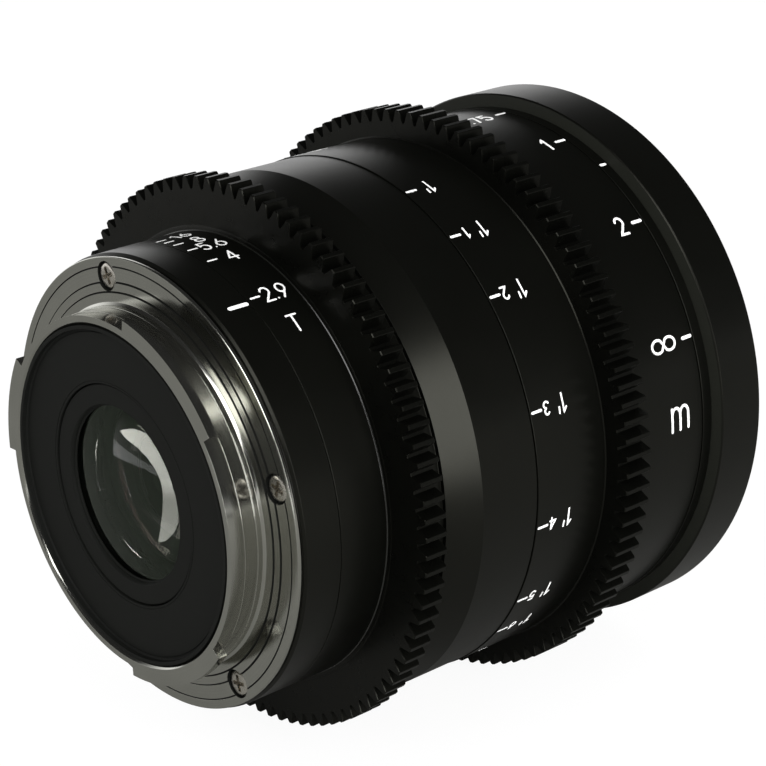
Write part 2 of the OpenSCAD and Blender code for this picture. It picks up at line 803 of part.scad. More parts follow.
bayonet_mount();
bayonet_sleeve();
mount_screws();
mount_shim();
rear_baffle();
rear_retainer();
rear_cell();
rear_element();
rear_spacer();
rear_inner_element();
rear_barrel();
main_tube();
mid_barrel();
iris_ring();
iris_gear();
iris_drive_pin();
iris_cam_ring();
iris_plate();
iris_retainer();
iris_blade(0);  // iris_blade_1
iris_blade(1);  // iris_blade_2
iris_blade(2);  // iris_blade_3
iris_blade(3);  // iris_blade_4
iris_blade(4);  // iris_blade_5
focus_ring();
focus_gear();
focus_helicoid();
focus_cell();
focus_drive_key();
focus_guide_pins();
focus_rear_element();
focus_spacer();
focus_front_element();
focus_retainer();
index_band();
front_ring();
front_cell();
second_element();
second_retainer();
front_element();
front_retainer();
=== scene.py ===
"""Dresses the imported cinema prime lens: turned rings, geared rims, glass, scales, finishes and a plain stage."""
import math
from collections import namedtuple

import bmesh
import bpy
from bpy.props import FloatProperty, FloatVectorProperty, IntProperty, PointerProperty
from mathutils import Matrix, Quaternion, Vector


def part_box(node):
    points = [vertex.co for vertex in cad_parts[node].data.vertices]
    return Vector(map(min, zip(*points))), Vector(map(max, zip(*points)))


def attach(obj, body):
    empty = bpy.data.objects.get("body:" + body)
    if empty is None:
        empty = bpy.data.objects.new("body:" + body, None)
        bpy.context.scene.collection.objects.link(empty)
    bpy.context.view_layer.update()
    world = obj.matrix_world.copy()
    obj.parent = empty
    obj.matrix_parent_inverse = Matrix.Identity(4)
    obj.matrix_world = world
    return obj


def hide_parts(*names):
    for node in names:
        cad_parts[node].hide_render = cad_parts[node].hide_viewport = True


bl_info = {
    "name": "Cinema prime lens",
    "version": (1, 0, 0),
    "blender": (4, 5, 0),
    "location": "View3D > Sidebar > Lens",
    "description": "Dresses the packed lens with turned rings, geared rims, glass, scales and finishes",
    "category": "Add Mesh",
}

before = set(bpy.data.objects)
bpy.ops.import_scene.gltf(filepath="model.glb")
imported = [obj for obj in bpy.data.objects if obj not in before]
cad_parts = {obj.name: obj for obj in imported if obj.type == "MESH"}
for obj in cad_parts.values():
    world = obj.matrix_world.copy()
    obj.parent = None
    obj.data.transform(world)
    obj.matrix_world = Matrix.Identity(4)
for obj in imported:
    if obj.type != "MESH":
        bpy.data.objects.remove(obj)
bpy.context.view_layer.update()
MM = 0.001
MODULE = 0.8
SHARP = math.radians(38)
PRESSURE_ANGLE = math.radians(20)
BLACK = ["satin_black", "polished_edge"]
MATTE = ["matte_black"]
Span = namedtuple("Span", "radius back front")


def reach(node):
    """Largest radius, back station and front station of a CAD node, in millimetres."""
    low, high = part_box(node)
    radius = max(math.hypot(v.co.x, v.co.z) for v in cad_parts[node].data.vertices)
    return Span(radius / MM, low.y / MM, high.y / MM)


FLANGE = reach("bayonet_mount")
SLEEVE = reach("bayonet_sleeve")
IRIS_GEAR = reach("iris_gear")
FOCUS_GEAR = reach("focus_gear")


def length(name, description, millimetres):
    return FloatProperty(name=name, description=description, default=millimetres * MM, min=0.0,
                         precision=6, subtype="DISTANCE", unit="LENGTH")


def turn_angle(name, description, degrees):
    return FloatProperty(name=name, description=description, default=math.radians(degrees),
                         subtype="ANGLE", unit="ROTATION")


def tint(name, description, value):
    return FloatVectorProperty(name=name, description=description, default=value, size=3, min=0.0, max=1.0,
                               subtype="COLOR")


def share(name, description, value):
    return FloatProperty(name=name, description=description, default=value, min=0.0, max=1.0, subtype="FACTOR")


def power(name, description, watts):
    return FloatProperty(name=name, description=description, default=watts, min=0.0, unit="POWER")


def teeth(name, description, gear):
    return IntProperty(name=name, description=description, default=round(2 * gear.radius / MODULE - 2), min=8)


class LensSizes(bpy.types.PropertyGroup):
    """Sizes of the details that the solids leave plain."""

    sides: IntProperty(name="Sides", description="Facets round each turned ring", default=256, min=48)
    edge_round: length("Edge round", "Radius on the edges of the black rings", 0.09)
    fine_round: length("Fine edge round", "Radius on the edges of the mount and the small rings", 0.05)
    gear_module: length("Gear module", "Module of both geared rims", MODULE)
    iris_teeth: teeth("Iris teeth", "Teeth of the iris gear", IRIS_GEAR)
    focus_teeth: teeth("Focus teeth", "Teeth of the focus gear", FOCUS_GEAR)
    tooth_chamfer: length("Tooth chamfer", "Chamfer on the ends and tips of the teeth", 0.12)
    screw_circle: length("Screw circle", "Distance of the mount screws from the axis", 29.7)
    screw_head: length("Screw head", "Head radius of the mount screws", 1.95)
    screw_head_height: length("Screw head height", "Height of the mount screws' heads", 1.2)
    screw_thread: length("Screw thread", "Thread radius of the mount screws", 1.0)
    thread_pitch: length("Filter pitch", "Pitch of the filter thread", 0.75)
    iris_digits: length("Iris digits", "Height of the digits on the iris ring", 2.5)
    feet_digits: length("Feet digits", "Height of the large digits of the feet scale", 2.6)
    metre_digits: length("Metre digits", "Height of the digits of the metre scale", 2.7)
    pen: length("Print stroke", "Width of a printed stroke", 0.28)
    print_height: length("Print height", "Height of the print above the ring", 0.012)
    iris_index: turn_angle("Iris index", "Place of the iris index round the axis", 26.0)
    distance_index: turn_angle("Distance index", "Place of the distance index round the axis", 25.5)


class LensFinishes(bpy.types.PropertyGroup):
    """Colours and surface values of the finishes."""

    anodised: tint("Anodised black", "Satin black of the rings", (0.0017, 0.0018, 0.0014))
    anodised_rough: share("Anodised roughness", "Roughness of the satin black rings", 0.31)
    matte: tint("Matte black", "Black of the baffle and the cells", (0.0076, 0.0080, 0.0071))
    matte_rough: share("Matte roughness", "Roughness of the matte black parts", 0.55)
    chrome: tint("Mount chrome", "Colour of the bayonet mount", (0.46, 0.46, 0.42))
    chrome_rough: share("Chrome roughness", "Roughness of the turned mount", 0.14)
    steel: tint("Nickel steel", "Colour of screws and pins", (0.62, 0.59, 0.53))
    brass: tint("Brass", "Colour of the shim and the guides", (0.66, 0.47, 0.2))
    blade: tint("Blade black", "Colour of the iris blades", (0.022, 0.022, 0.026))
    paint: tint("Print white", "Colour of the printed scales", (0.88, 0.88, 0.87))
    glass: tint("Glass", "Colour of the glass", (0.97, 1.0, 0.98))


class LensStage(bpy.types.PropertyGroup):
    """Floor, light and camera."""

    floor: tint("Floor", "Colour of the floor", (0.92, 0.92, 0.92))
    card: tint("Card", "Colour of the card that reflections see under the lens", (0.235, 0.235, 0.225))
    fill: share("Fill", "Level of the light from all round", 0.85)
    key_power: power("Key power", "Power of the softbox behind the camera", 4.0)
    side_power: power("Side power", "Power of the softbox on the right", 3.7)
    glow: FloatProperty(name="Glow", description="Brightness of the card that the rear glass mirrors", default=7.9,
                        min=0.0)
    camera_place: FloatVectorProperty(name="Camera place", description="Place of the camera", size=3,
                                      default=(0.23605, -0.16289, 0.13685), subtype="TRANSLATION",
                                      unit="LENGTH")
    camera_back: FloatVectorProperty(name="Camera back", description="Direction from the lens to the camera",
                                     size=3, default=(0.694, -0.604, 0.392), subtype="DIRECTION")
    focal: FloatProperty(name="Focal length", description="Focal length of the camera, in millimetres",
                         default=107.63, min=1.0, unit="CAMERA")


class Wire:
    """A node's output that takes part in arithmetic."""

    def __init__(self, sheet, socket):
        self.sheet = sheet
        self.socket = socket

    def math(self, operation, first, second=0.0):
        return self.sheet.node("ShaderNodeMath", {0: first, 1: second}, operation=operation)

    def __add__(self, other):
        return self.math("ADD", self, other)

    def __sub__(self, other):
        return self.math("SUBTRACT", self, other)

    def __rsub__(self, other):
        return self.math("SUBTRACT", other, self)

    def __mul__(self, other):
        return self.math("MULTIPLY", self, other)

    def __truediv__(self, other):
        return self.math("DIVIDE", self, other)

    def __pow__(self, other):
        return self.math("POWER", self, other)

    def __gt__(self, other):
        return self.math("GREATER_THAN", self, other)

    def __lt__(self, other):
        return self.math("LESS_THAN", self, other)

    def __abs__(self):
        return self.math("ABSOLUTE", self)

    __radd__ = __add__
    __rmul__ = __mul__


class Sheet:
    """A node tree that is filled node by node."""

    def __init__(self, tree):
        self.tree = tree

    def node(self, kind, inputs=None, out=0, **settings):
        """Adds a node with its settings, then its sockets' values or links, and returns one output."""
        made = self.tree.nodes.new(kind)
        for key, value in settings.items():
            setattr(made, key, value)
        for key, value in (inputs or {}).items():
            for one in value if isinstance(value, list) else [value]:
                if isinstance(one, Wire):
                    self.tree.links.new(one.socket, made.inputs[key])
                else:
                    made.inputs[key].default_value = one
        return Wire(self, made.outputs[out]) if made.outputs else None

    def also(self, wire, out):
        """Another output of the node that a wire comes from."""
        return Wire(self, wire.socket.node.outputs[out])

    def axes(self, vector):
        """The three parts of a vector."""
        first = self.node("ShaderNodeSeparateXYZ", {0: vector})
        return first, self.also(first, 1), self.also(first, 2)

    def vector(self, x=0.0, y=0.0, z=0.0):
        return self.node("ShaderNodeCombineXYZ", {0: x, 1: y, 2: z})

    def noise(self, place, scale, detail=2.0, rough=0.5):
        return self.node("ShaderNodeTexNoise", {"Vector": place, "Scale": scale, "Detail": detail, "Roughness": rough})

    def tone(self, amount, colour, low, high):
        """A colour between its darker and its lighter shade."""
        return self.node("ShaderNodeMix", {0: amount, 6: rgba(colour, low), 7: rgba(colour, high)}, 2,
                         data_type="RGBA")

    def bump(self, height, strength, distance):
        return self.node("ShaderNodeBump", {"Height": height, "Strength": strength, "Distance": distance})

    def surface(self, shader):
        self.node("ShaderNodeOutputMaterial", {"Surface": shader})


def rgba(colour, gain=1.0):
    return (*[min(1.0, part * gain) for part in colour], 1.0)


def new_finish(name):
    """An empty material and the sheet of its nodes."""
    made = bpy.data.materials.new(name)
    made.use_nodes = True
    made.node_tree.nodes.clear()
    return made, Sheet(made.node_tree)


def shade(sheet, **sockets):
    """Principled surface with the named sockets, wired to the output."""
    names = {key.replace("_", " "): value for key, value in sockets.items()}
    sheet.surface(sheet.node("ShaderNodeBsdfPrincipled", names))


def finish(kind):
    """The named finish, made when it is first asked for."""
    made = bpy.data.materials.get(kind)
    if not made:
        made, sheet = new_finish(kind)
        place_on = sheet.node("ShaderNodeTexCoord", out="Object")
        FINISHES[kind](sheet, place_on, bpy.context.scene.lens_finishes)
    return made


WARM = (1.0, 1.0, 0.86, 1.0)


def satin_black(sheet, place, colours):
    """Blasted and anodised aluminium: an even fine grain with soft clouds in its gloss."""
    grain = sheet.noise(place, 4200.0, 3.0, 0.65)
    cloud = sheet.noise(place, 90.0, 2.0)
    tone = sheet.tone(cloud * 0.7 + grain * 0.3, colours.anodised, 0.8, 1.25)
    shade(sheet, Base_Color=tone, Roughness=colours.anodised_rough - 0.06 + cloud * 0.08 + grain * 0.05,
          Specular_IOR_Level=0.22, Specular_Tint=WARM, Normal=sheet.bump(grain, 0.4, 0.00002))


def geared_black(sheet, place, colours):
    """Anodised teeth: glossier where the cutter left them bare of blasting."""
    x, y, z = sheet.axes(place)
    strokes = sheet.noise(sheet.vector(x * 500.0, y * 9000.0, z * 500.0), 1.0)
    grain = sheet.noise(place, 6000.0)
    tone = sheet.tone(strokes, colours.anodised, 0.6, 1.1)
    shade(sheet, Base_Color=tone, Roughness=0.22 + strokes * 0.08 + grain * 0.06, Specular_IOR_Level=0.18,
          Specular_Tint=WARM, Normal=sheet.bump(strokes, 0.1, 0.00002))


def polished_edge(sheet, place, colours):
    """Narrow chamfers that were cut last and catch the light."""
    nick = sheet.noise(place, 900.0, 3.0)
    tone = sheet.tone(nick, colours.anodised, 2.0, 4.0)
    shade(sheet, Base_Color=tone, Roughness=0.2 + nick * 0.1, Specular_IOR_Level=0.6)


def pale_rear_face(sheet, place, colours):
    """The filter ring's rear face: the anodised black made seven to ten times lighter, rougher and less glossy."""
    dust = sheet.noise(place, 1800.0, 3.0)
    tone = sheet.tone(dust, colours.anodised, 7.0, 10.0)
    shade(sheet, Base_Color=tone, Roughness=0.5 + dust * 0.1, Specular_IOR_Level=0.15)


def matte_black(sheet, place, colours):
    """Turned and blackened metal with fine rings round the axis; in the mount's grooves and bores it is painted shade.
    """
    x, y, z = sheet.axes(place)
    radius = (x * x + z * z) ** 0.5
    ridge = sheet.node("ShaderNodeMath", {0: (radius + y) * 42000.0}, operation="SINE")
    dust = sheet.noise(place, 2600.0, 3.0)
    tone = sheet.tone(dust, colours.matte, 0.75, 1.35)
    shade(sheet, Base_Color=tone, Roughness=colours.matte_rough - 0.06 + dust * 0.12, Specular_IOR_Level=0.06,
          Normal=sheet.bump(ridge * 0.6 + dust, 0.1, 0.00003))


def turned_chrome(sheet, place, colours):
    """Chromed brass with the lathe's fine lines round the axis."""
    x, y, z = sheet.axes(place)
    across = (x * x + z * z) ** 0.5 + y * 0.8
    line = sheet.node("ShaderNodeTexNoise", {"W": across, "Scale": 9000.0, "Detail": 4.0}, noise_dimensions="1D")
    haze = sheet.noise(place, 160.0, 3.0)
    tone = sheet.tone(line * 0.6 + haze * 0.4, colours.chrome, 0.8, 1.2)
    shade(sheet, Base_Color=tone, Metallic=1.0, Roughness=colours.chrome_rough - 0.07 + line * 0.1 + haze * 0.05,
          Normal=sheet.bump(line, 0.1, 0.00001))


def bright_metal(sheet, place, colour, rough):
    """Small turned metal parts with a drawn grain."""
    grain = sheet.noise(place, 4200.0, 4.0, 0.6)
    haze = sheet.noise(place, 420.0)
    tone = sheet.tone(haze, colour, 0.8, 1.15)
    shade(sheet, Base_Color=tone, Metallic=1.0, Roughness=rough + grain * 0.14,
          Normal=sheet.bump(grain, 0.08, 0.00002))


def blade_black(sheet, place, colours):
    """Thin hardened blades with a dry black film."""
    rub = sheet.noise(place, 700.0, 4.0, 0.65)
    tone = sheet.tone(rub, colours.blade, 0.7, 1.5)
    shade(sheet, Base_Color=tone, Metallic=0.4, Roughness=0.34 + rub * 0.14)


def white_paint(sheet, place, colours):
    """Filled white print, slightly uneven in its gloss."""
    fleck = sheet.noise(place, 5200.0, 2.0)
    tone = sheet.tone(fleck, colours.paint, 0.96, 1.03)
    shade(sheet, Base_Color=tone, Roughness=0.42 + fleck * 0.15, Specular_IOR_Level=0.3)


def coated_glass(sheet, place, colours, sheen):
    """Clear glass with a coating that colours its reflections, and a faint trace of wiping on it."""
    wipe = sheet.noise(place, 240.0, 3.0)
    tone = sheet.tone(wipe, colours.glass, 0.985, 1.0)
    shade(sheet, Base_Color=tone, Roughness=wipe * 0.012, Transmission_Weight=1.0, IOR=1.58,
          Specular_Tint=rgba(sheen))


FINISHES = {
    "satin_black": satin_black,
    "geared_black": geared_black,
    "polished_edge": polished_edge,
    "pale_rear_face": pale_rear_face,
    "matte_black": matte_black,
    "turned_chrome": turned_chrome,
    "nickel_steel": lambda sheet, place, colours: bright_metal(sheet, place, colours.steel, 0.2),
    "dull_brass": lambda sheet, place, colours: bright_metal(sheet, place, colours.brass, 0.28),
    "blade_black": blade_black,
    "white_paint": white_paint,
    "clear_glass": lambda sheet, place, colours: coated_glass(sheet, place, colours, (1.0, 1.0, 1.0)),
    "green_glass": lambda sheet, place, colours: coated_glass(sheet, place, colours, (0.18, 0.4, 0.13)),
    "rose_glass": lambda sheet, place, colours: coated_glass(sheet, place, colours, (0.07, 0.03, 0.03)),
}


def on_ring(radius, station, angle):
    """Point at a radius, a station and an angle counted from +Z towards +X; millimetres and radians."""
    return Vector((radius * math.sin(angle), station, radius * math.cos(angle))) * MM


def soften(profile, radius, steps=3):
    """The profile with its corners rounded; each point holds the finish of the edge after it."""
    made = []
    for i, (r, y, kind) in enumerate(profile):
        corner = Vector((r, y))
        back = Vector(profile[i - 1][:2]) - corner
        fore = Vector(profile[(i + 1) % len(profile)][:2]) - corner
        opening = back.angle(fore)
        if opening > math.radians(168):
            made.append((r, y, kind))
            continue
        cut = min(radius / math.tan(opening / 2), 0.42 * back.length, 0.42 * fore.length)
        start = corner + back.normalized() * cut
        end = corner + fore.normalized() * cut
        for k in range(steps + 1):
            t = k / steps
            point = start.lerp(corner, t).lerp(corner.lerp(end, t), t)
            made.append((point.x, point.y, kind))
    return made


def to_mesh(name, shape, finishes):
    """The mesh of a filled shape, with its finishes."""
    mesh = bpy.data.meshes.new(name)
    shape.to_mesh(mesh)
    shape.free()
    for kind in finishes:
        mesh.materials.append(finish(kind))
    return mesh


def turn(name, profile, finishes, sides=None):
    """Mesh turned round the optical axis from a closed profile of radius, station and finish number."""
    sides = sides or bpy.context.scene.lens_sizes.sides
    shape = bmesh.new()
    rings = []
    for k in range(sides):
        angle = 2 * math.pi * k / sides
        rings.append([shape.verts.new(on_ring(r, y, angle)) for r, y, _ in profile])
    for k in range(sides):
        here, there = rings[k], rings[(k + 1) % sides]
        for i, (_, _, kind) in enumerate(profile):
            j = (i + 1) % len(profile)
            face = shape.faces.new((here[i], here[j], there[j], there[i]))
            face.material_index = kind
            face.smooth = True
    bmesh.ops.remove_doubles(shape, verts=shape.verts, dist=1e-7)
    bmesh.ops.recalc_face_normals(shape, faces=shape.faces)
    mesh = to_mesh(name, shape, finishes)
    mesh.set_sharp_from_angle(angle=SHARP)
    return mesh


def place(name, mesh):
    made = bpy.data.objects.new(name, mesh)
    bpy.context.scene.collection.objects.link(made)
    return made


def settle(made):
    """Turns an object's modifiers into its plain mesh."""
    graph = bpy.context.evaluated_depsgraph_get()
    graph.update()
    mesh = bpy.data.meshes.new_from_object(made.evaluated_get(graph))
    mesh.name = made.name
    made.modifiers.clear()
    old = made.data
    made.data = mesh
    bpy.data.meshes.remove(old)
    return made


def even_normals(made):
    """Keeps wide faces flat beside their rounded edges."""
    modifier = made.modifiers.new("even_normals", "WEIGHTED_NORMAL")
    modifier.keep_sharp = True
    return settle(made)


def fit(made, body, slot, *nodes):
    """Hands a finished piece to its body and hides the solids that it stands for."""
    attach(made, body)
    if nodes:
        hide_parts(*nodes)
    return made


def turned_piece(name, node, profile, finishes=BLACK, body="barrel", slot="black_anodised", corner=None):
    """A ring that is turned, softened and put in the place of its solid."""
    corner = (corner or bpy.context.scene.lens_sizes.edge_round) / MM
    made = place(name, turn(name, soften(profile, corner), finishes))
    return fit(even_normals(made), body, slot, node)


def plain(points, kind=0):
    return [(r, y, kind) for r, y in points]


def cut(made, tool, operation):
    """Applies one exact boolean with a tool mesh, which is then dropped."""
    modifier = made.modifiers.new("cut", "BOOLEAN")
    modifier.solver = "EXACT"
    modifier.operation = operation
    modifier.object = tool
    # A tool with a finish hands it to the faces that it cuts; the pins' matte black is painted shade in the holes
    if tool.data.materials:
        modifier.material_mode = "TRANSFER"
    settle(made)
    mesh = tool.data
    bpy.data.objects.remove(tool)
    bpy.data.meshes.remove(mesh)
    return made


PIN_SIDES = 40


def pins(name, rows):
    """Mesh of round pins along the axis, from rows of radius, back, front, circle and angle; its matte black goes onto
    the walls that it cuts, as painted shade in the holes.
    """
    shape = bmesh.new()
    for radius, back, front, circle, angle in rows:
        loops = []
        for station in (back, front):
            centre = on_ring(circle, station, angle)
            loops.append([shape.verts.new(centre + Vector((math.sin(t), 0, math.cos(t))) * radius * MM)
                          for t in (2 * math.pi * k / PIN_SIDES for k in range(PIN_SIDES))])
        for k in range(PIN_SIDES):
            n = (k + 1) % PIN_SIDES
            shape.faces.new((loops[0][k], loops[0][n], loops[1][n], loops[1][k]))
        shape.faces.new(loops[0])
        shape.faces.new(loops[1])
    bmesh.ops.recalc_face_normals(shape, faces=shape.faces)
    return place(name, to_mesh(name, shape, MATTE))


def sector(shape, profile, start, end):
    """Adds a closed slice of a turned ring between two angles to a shape."""
    steps = max(6, round(abs(end - start) / math.radians(2)))
    rows = [[shape.verts.new(on_ring(r, y, start + (end - start) * k / steps)) for r, y in profile]
            for k in range(steps + 1)]
    for here, there in zip(rows, rows[1:]):
        for i in range(len(profile)):
            j = (i + 1) % len(profile)
            shape.faces.new((here[i], here[j], there[j], there[i]))
    shape.faces.new(rows[0])
    shape.faces.new(rows[-1])


SCREW_ANGLES = [math.radians(a) for a in (-16, 71, 141, 235)]
LOCK_ANGLE = math.radians(205)
LUGS = [[math.radians(a) for a in lug] for lug in ((7, 53), (125, 176), (266, 299))]


class LENS_OT_mount(bpy.types.Operator):
    """Flange with its counterbores, and the sleeve with its three lugs"""

    bl_idname = "lens.mount"
    bl_label = "Bayonet mount"

    def execute(self, context):
        sizes = context.scene.lens_sizes
        fine = sizes.fine_round / MM
        lip, seat, bore = FLANGE.radius, FLANGE.radius - 0.4, SLEEVE.radius - 1.55
        face = plain([(bore, -3.4), (bore + 0.12, -3.4), (bore + 0.12, -1.35), (bore + 0.24, -1.35),
                      (bore + 0.24, -0.6), (bore + 0.6, -0.26)])
        wide, deep = 0.16, 0.14
        # Each groove's walls and floor take finish 1, matte black: painted shade in the grooves of the chrome face
        for groove, before, after in ((27.45, -0.26, -0.13), (28.8, -0.13, 0.0), (30.95, 0.0, 0.0)):
            face += plain([(groove, before), (groove, after + deep), (groove + wide, after + deep)], 1)
            face.append((groove + wide, after, 0))
        face += plain([(lip - 0.1, 0.0), (lip, 0.1), (lip, 0.5), (seat, 0.5), (seat, 2.0), (bore, 2.0)])
        flange = place("mount_flange", turn("mount_flange", soften(face, fine), ["turned_chrome", "matte_black"]))
        circle = sizes.screw_circle / MM
        # The cutting pins carry matte black onto the walls of the counterbores, lock hole and screw holes: painted
        # shade in the bores
        bores = [(sizes.screw_head / MM + 0.15, -1.0, sizes.screw_head_height / MM, circle, a) for a in SCREW_ANGLES]
        bores.append((1.4, -1.0, 3.0, circle, LOCK_ANGLE))
        cut(flange, pins("flange_bores_painted_shade", bores), "DIFFERENCE")
        cut(flange, pins("flange_holes_painted_shade", [(1.1, 1.0, 3.0, circle, a) for a in SCREW_ANGLES]), "DIFFERENCE")
        flange.data.set_sharp_from_angle(angle=SHARP)
        fit(even_normals(flange), "barrel", "mount_chrome", "bayonet_mount")

        outer, inner, end = SLEEVE.radius - 1.5, SLEEVE.radius - 2.9, SLEEVE.back
        tube = [(inner, end + 0.5), (inner + 0.5, end), (outer, end), (outer, 2.0), (inner, 2.0)]
        sleeve = place("lug_sleeve", turn("lug_sleeve", plain(tube), ["turned_chrome"]))
        shape = bmesh.new()
        lug = [(inner + 0.7, end), (SLEEVE.radius, end), (SLEEVE.radius, end + 1.4), (inner + 0.7, end + 1.4)]
        for start, stop in LUGS:
            sector(shape, lug, start, stop)
        bmesh.ops.recalc_face_normals(shape, faces=shape.faces)
        cut(sleeve, place("lugs", to_mesh("lugs", shape, [])), "UNION")
        soft = sleeve.modifiers.new("soft_edges", "BEVEL")
        soft.width = 0.16 * MM
        soft.segments = 2
        soft.limit_method = "ANGLE"
        soft.angle_limit = math.radians(40)
        settle(sleeve)
        for polygon in sleeve.data.polygons:
            polygon.use_smooth = True
        sleeve.data.set_sharp_from_angle(angle=SHARP)
        fit(even_normals(sleeve), "barrel", "mount_chrome", "bayonet_sleeve")
        return {"FINISHED"}


def new_tree(name, inputs):
    """A geometry tree with named inputs, its sheet and a wire from each input."""
    tree = bpy.data.node_groups.new(name, "GeometryNodeTree")
    for label, kind in inputs:
        tree.interface.new_socket(label, in_out="INPUT", socket_type=kind)
    tree.interface.new_socket("Geometry", in_out="OUTPUT", socket_type="NodeSocketGeometry")
    sheet = Sheet(tree)
    first = sheet.node("NodeGroupInput")
    return tree, sheet, {label: sheet.also(first, label) for label, _ in inputs}


def grow(name, mesh, tree, values):
    """Runs a geometry tree on a mesh with its named inputs, and keeps the result as a plain mesh."""
    made = place(name, mesh)
    modifier = made.modifiers.new(tree.name, "NODES")
    modifier.node_group = tree
    for item in tree.interface.items_tree:
        if item.in_out == "INPUT" and item.name in values:
            modifier[item.identifier] = values[item.name]
    return settle(made)


def repeat(sheet, points, one, angle):
    """Copies of one shape on points, each turned about the optical axis, as plain geometry."""
    copies = sheet.node("GeometryNodeInstanceOnPoints", {
        "Points": points, "Instance": one, "Rotation": sheet.vector(y=angle)})
    return sheet.node("GeometryNodeRealizeInstances", {"Geometry": copies})


def paint(sheet, whole, wire):
    """Ends a tree: gives the whole its finish and hands it out."""
    whole = sheet.node("GeometryNodeSetMaterial", {"Geometry": whole, "Material": wire["Finish"]})
    sheet.node("NodeGroupOutput", {0: whole})


def screw_tree():
    """Cross-recess screws on the points of a mesh, each turned by its own angle."""
    number = "NodeSocketFloat"
    tree, sheet, wire = new_tree("mount_screws", [
        ("Centres", "NodeSocketGeometry"), ("Head radius", number), ("Head height", number),
        ("Thread radius", number), ("Length", number), ("Recess", number), ("Seed", "NodeSocketInt"),
        ("Finish", "NodeSocketMaterial")])
    height, length_below = wire["Head height"], wire["Length"]
    head = sheet.node("GeometryNodeMeshCylinder", {
        "Vertices": 48, "Side Segments": 8, "Radius": wire["Head radius"], "Depth": height})
    x, y, z = sheet.axes(sheet.node("GeometryNodeInputPosition"))
    low = (0.0 - z) / height + 0.5
    crown = 1.0 - 0.22 * (low ** 7.0)
    head = sheet.node("GeometryNodeSetPosition", {"Geometry": head, "Position": sheet.vector(x * crown, y * crown, z)})
    head = sheet.node("GeometryNodeTransform", {"Geometry": head, "Translation": sheet.vector(z=height * 0.5)})
    bars = [sheet.node("GeometryNodeMeshCube", {
        "Size": sheet.vector(wire["Recess"] * across, wire["Recess"] * along, height * 1.7)})
        for across, along in ((2.0, 0.5), (0.5, 2.0))]
    head = sheet.node("GeometryNodeMeshBoolean", {"Mesh 1": head, "Mesh 2": bars}, operation="DIFFERENCE",
                      solver="EXACT")
    shank = sheet.node("GeometryNodeMeshCylinder", {
        "Vertices": 32, "Radius": wire["Thread radius"], "Depth": length_below})
    shank = sheet.node("GeometryNodeTransform", {
        "Geometry": shank, "Translation": sheet.vector(z=length_below * 0.5 + height * 0.9)})
    screw = sheet.node("GeometryNodeJoinGeometry", {0: [head, shank]})
    screw = sheet.node("GeometryNodeTransform", {"Geometry": screw, "Rotation": (-math.pi / 2, 0.0, 0.0)})
    twist = sheet.node("FunctionNodeRandomValue", {2: 0.0, 3: math.pi / 2, "Seed": wire["Seed"]}, 1, data_type="FLOAT")
    points = sheet.node("GeometryNodeMeshToPoints", {"Mesh": wire["Centres"]})
    paint(sheet, repeat(sheet, points, screw, twist), wire)
    return tree


class LENS_OT_mount_screws(bpy.types.Operator):
    """Four cross-recess screws that hold the flange"""

    bl_idname = "lens.mount_screws"
    bl_label = "Mount screws"

    def execute(self, context):
        sizes = context.scene.lens_sizes
        mesh = bpy.data.meshes.new("mount_screw_set")
        centres = [on_ring(sizes.screw_circle / MM, 0.15, a) for a in SCREW_ANGLES]
        mesh.from_pydata(centres, [], [])
        mesh.materials.append(finish("nickel_steel"))
        made = grow("mount_screw_set", mesh, screw_tree(), {
            "Head radius": sizes.screw_head, "Head height": sizes.screw_head_height - 0.15 * MM,
            "Thread radius": sizes.screw_thread, "Length": 3.2 * MM, "Recess": 0.62 * sizes.screw_head,
            "Seed": 4, "Finish": finish("nickel_steel")})
        made.data.set_sharp_from_angle(angle=math.radians(35))
        fit(made, "barrel", "steel", "mount_screws")
        return {"FINISHED"}


class LENS_OT_rear_window(bpy.types.Operator):
    """Baffle plate inside the sleeve and the ring that holds the rear glass"""

    bl_idname = "lens.rear_window"
    bl_label = "Rear window"

    def execute(self, context):
        fine = context.scene.lens_sizes.fine_round
        plate = reach("rear_baffle")
        face, wall, window = plate.back + 0.8, plate.radius - 0.55, 15.9
        profile = plain([(window, face), (16.15, face), (16.15, face + 0.08), (16.35, face + 0.08), (16.35, face),
                         (wall - 0.5, face), (wall - 0.5, face + 0.15), (wall - 0.2, face + 0.15), (wall, face - 0.1),
                         (wall, plate.back), (plate.radius, plate.back), (plate.radius, plate.front),
                         (wall, plate.front), (wall, face + 1.0), (window, face + 1.0)])
        turned_piece("baffle_plate", "rear_baffle", profile, MATTE, slot="black_matte", corner=fine)
        ring = reach("rear_retainer")
        profile = plain([(12.85, ring.back + 0.1), (12.95, ring.back), (ring.radius - 0.15, ring.back),
                         (ring.radius, ring.back + 0.15), (ring.radius, ring.front), (12.5, ring.front),
                         (12.5, ring.front - 0.2), (12.7, ring.front - 0.3), (12.7, ring.front - 0.55)])
        turned_piece("rear_lock_ring", "rear_retainer", profile, MATTE, slot="black_matte", corner=fine)
        return {"FINISHED"}


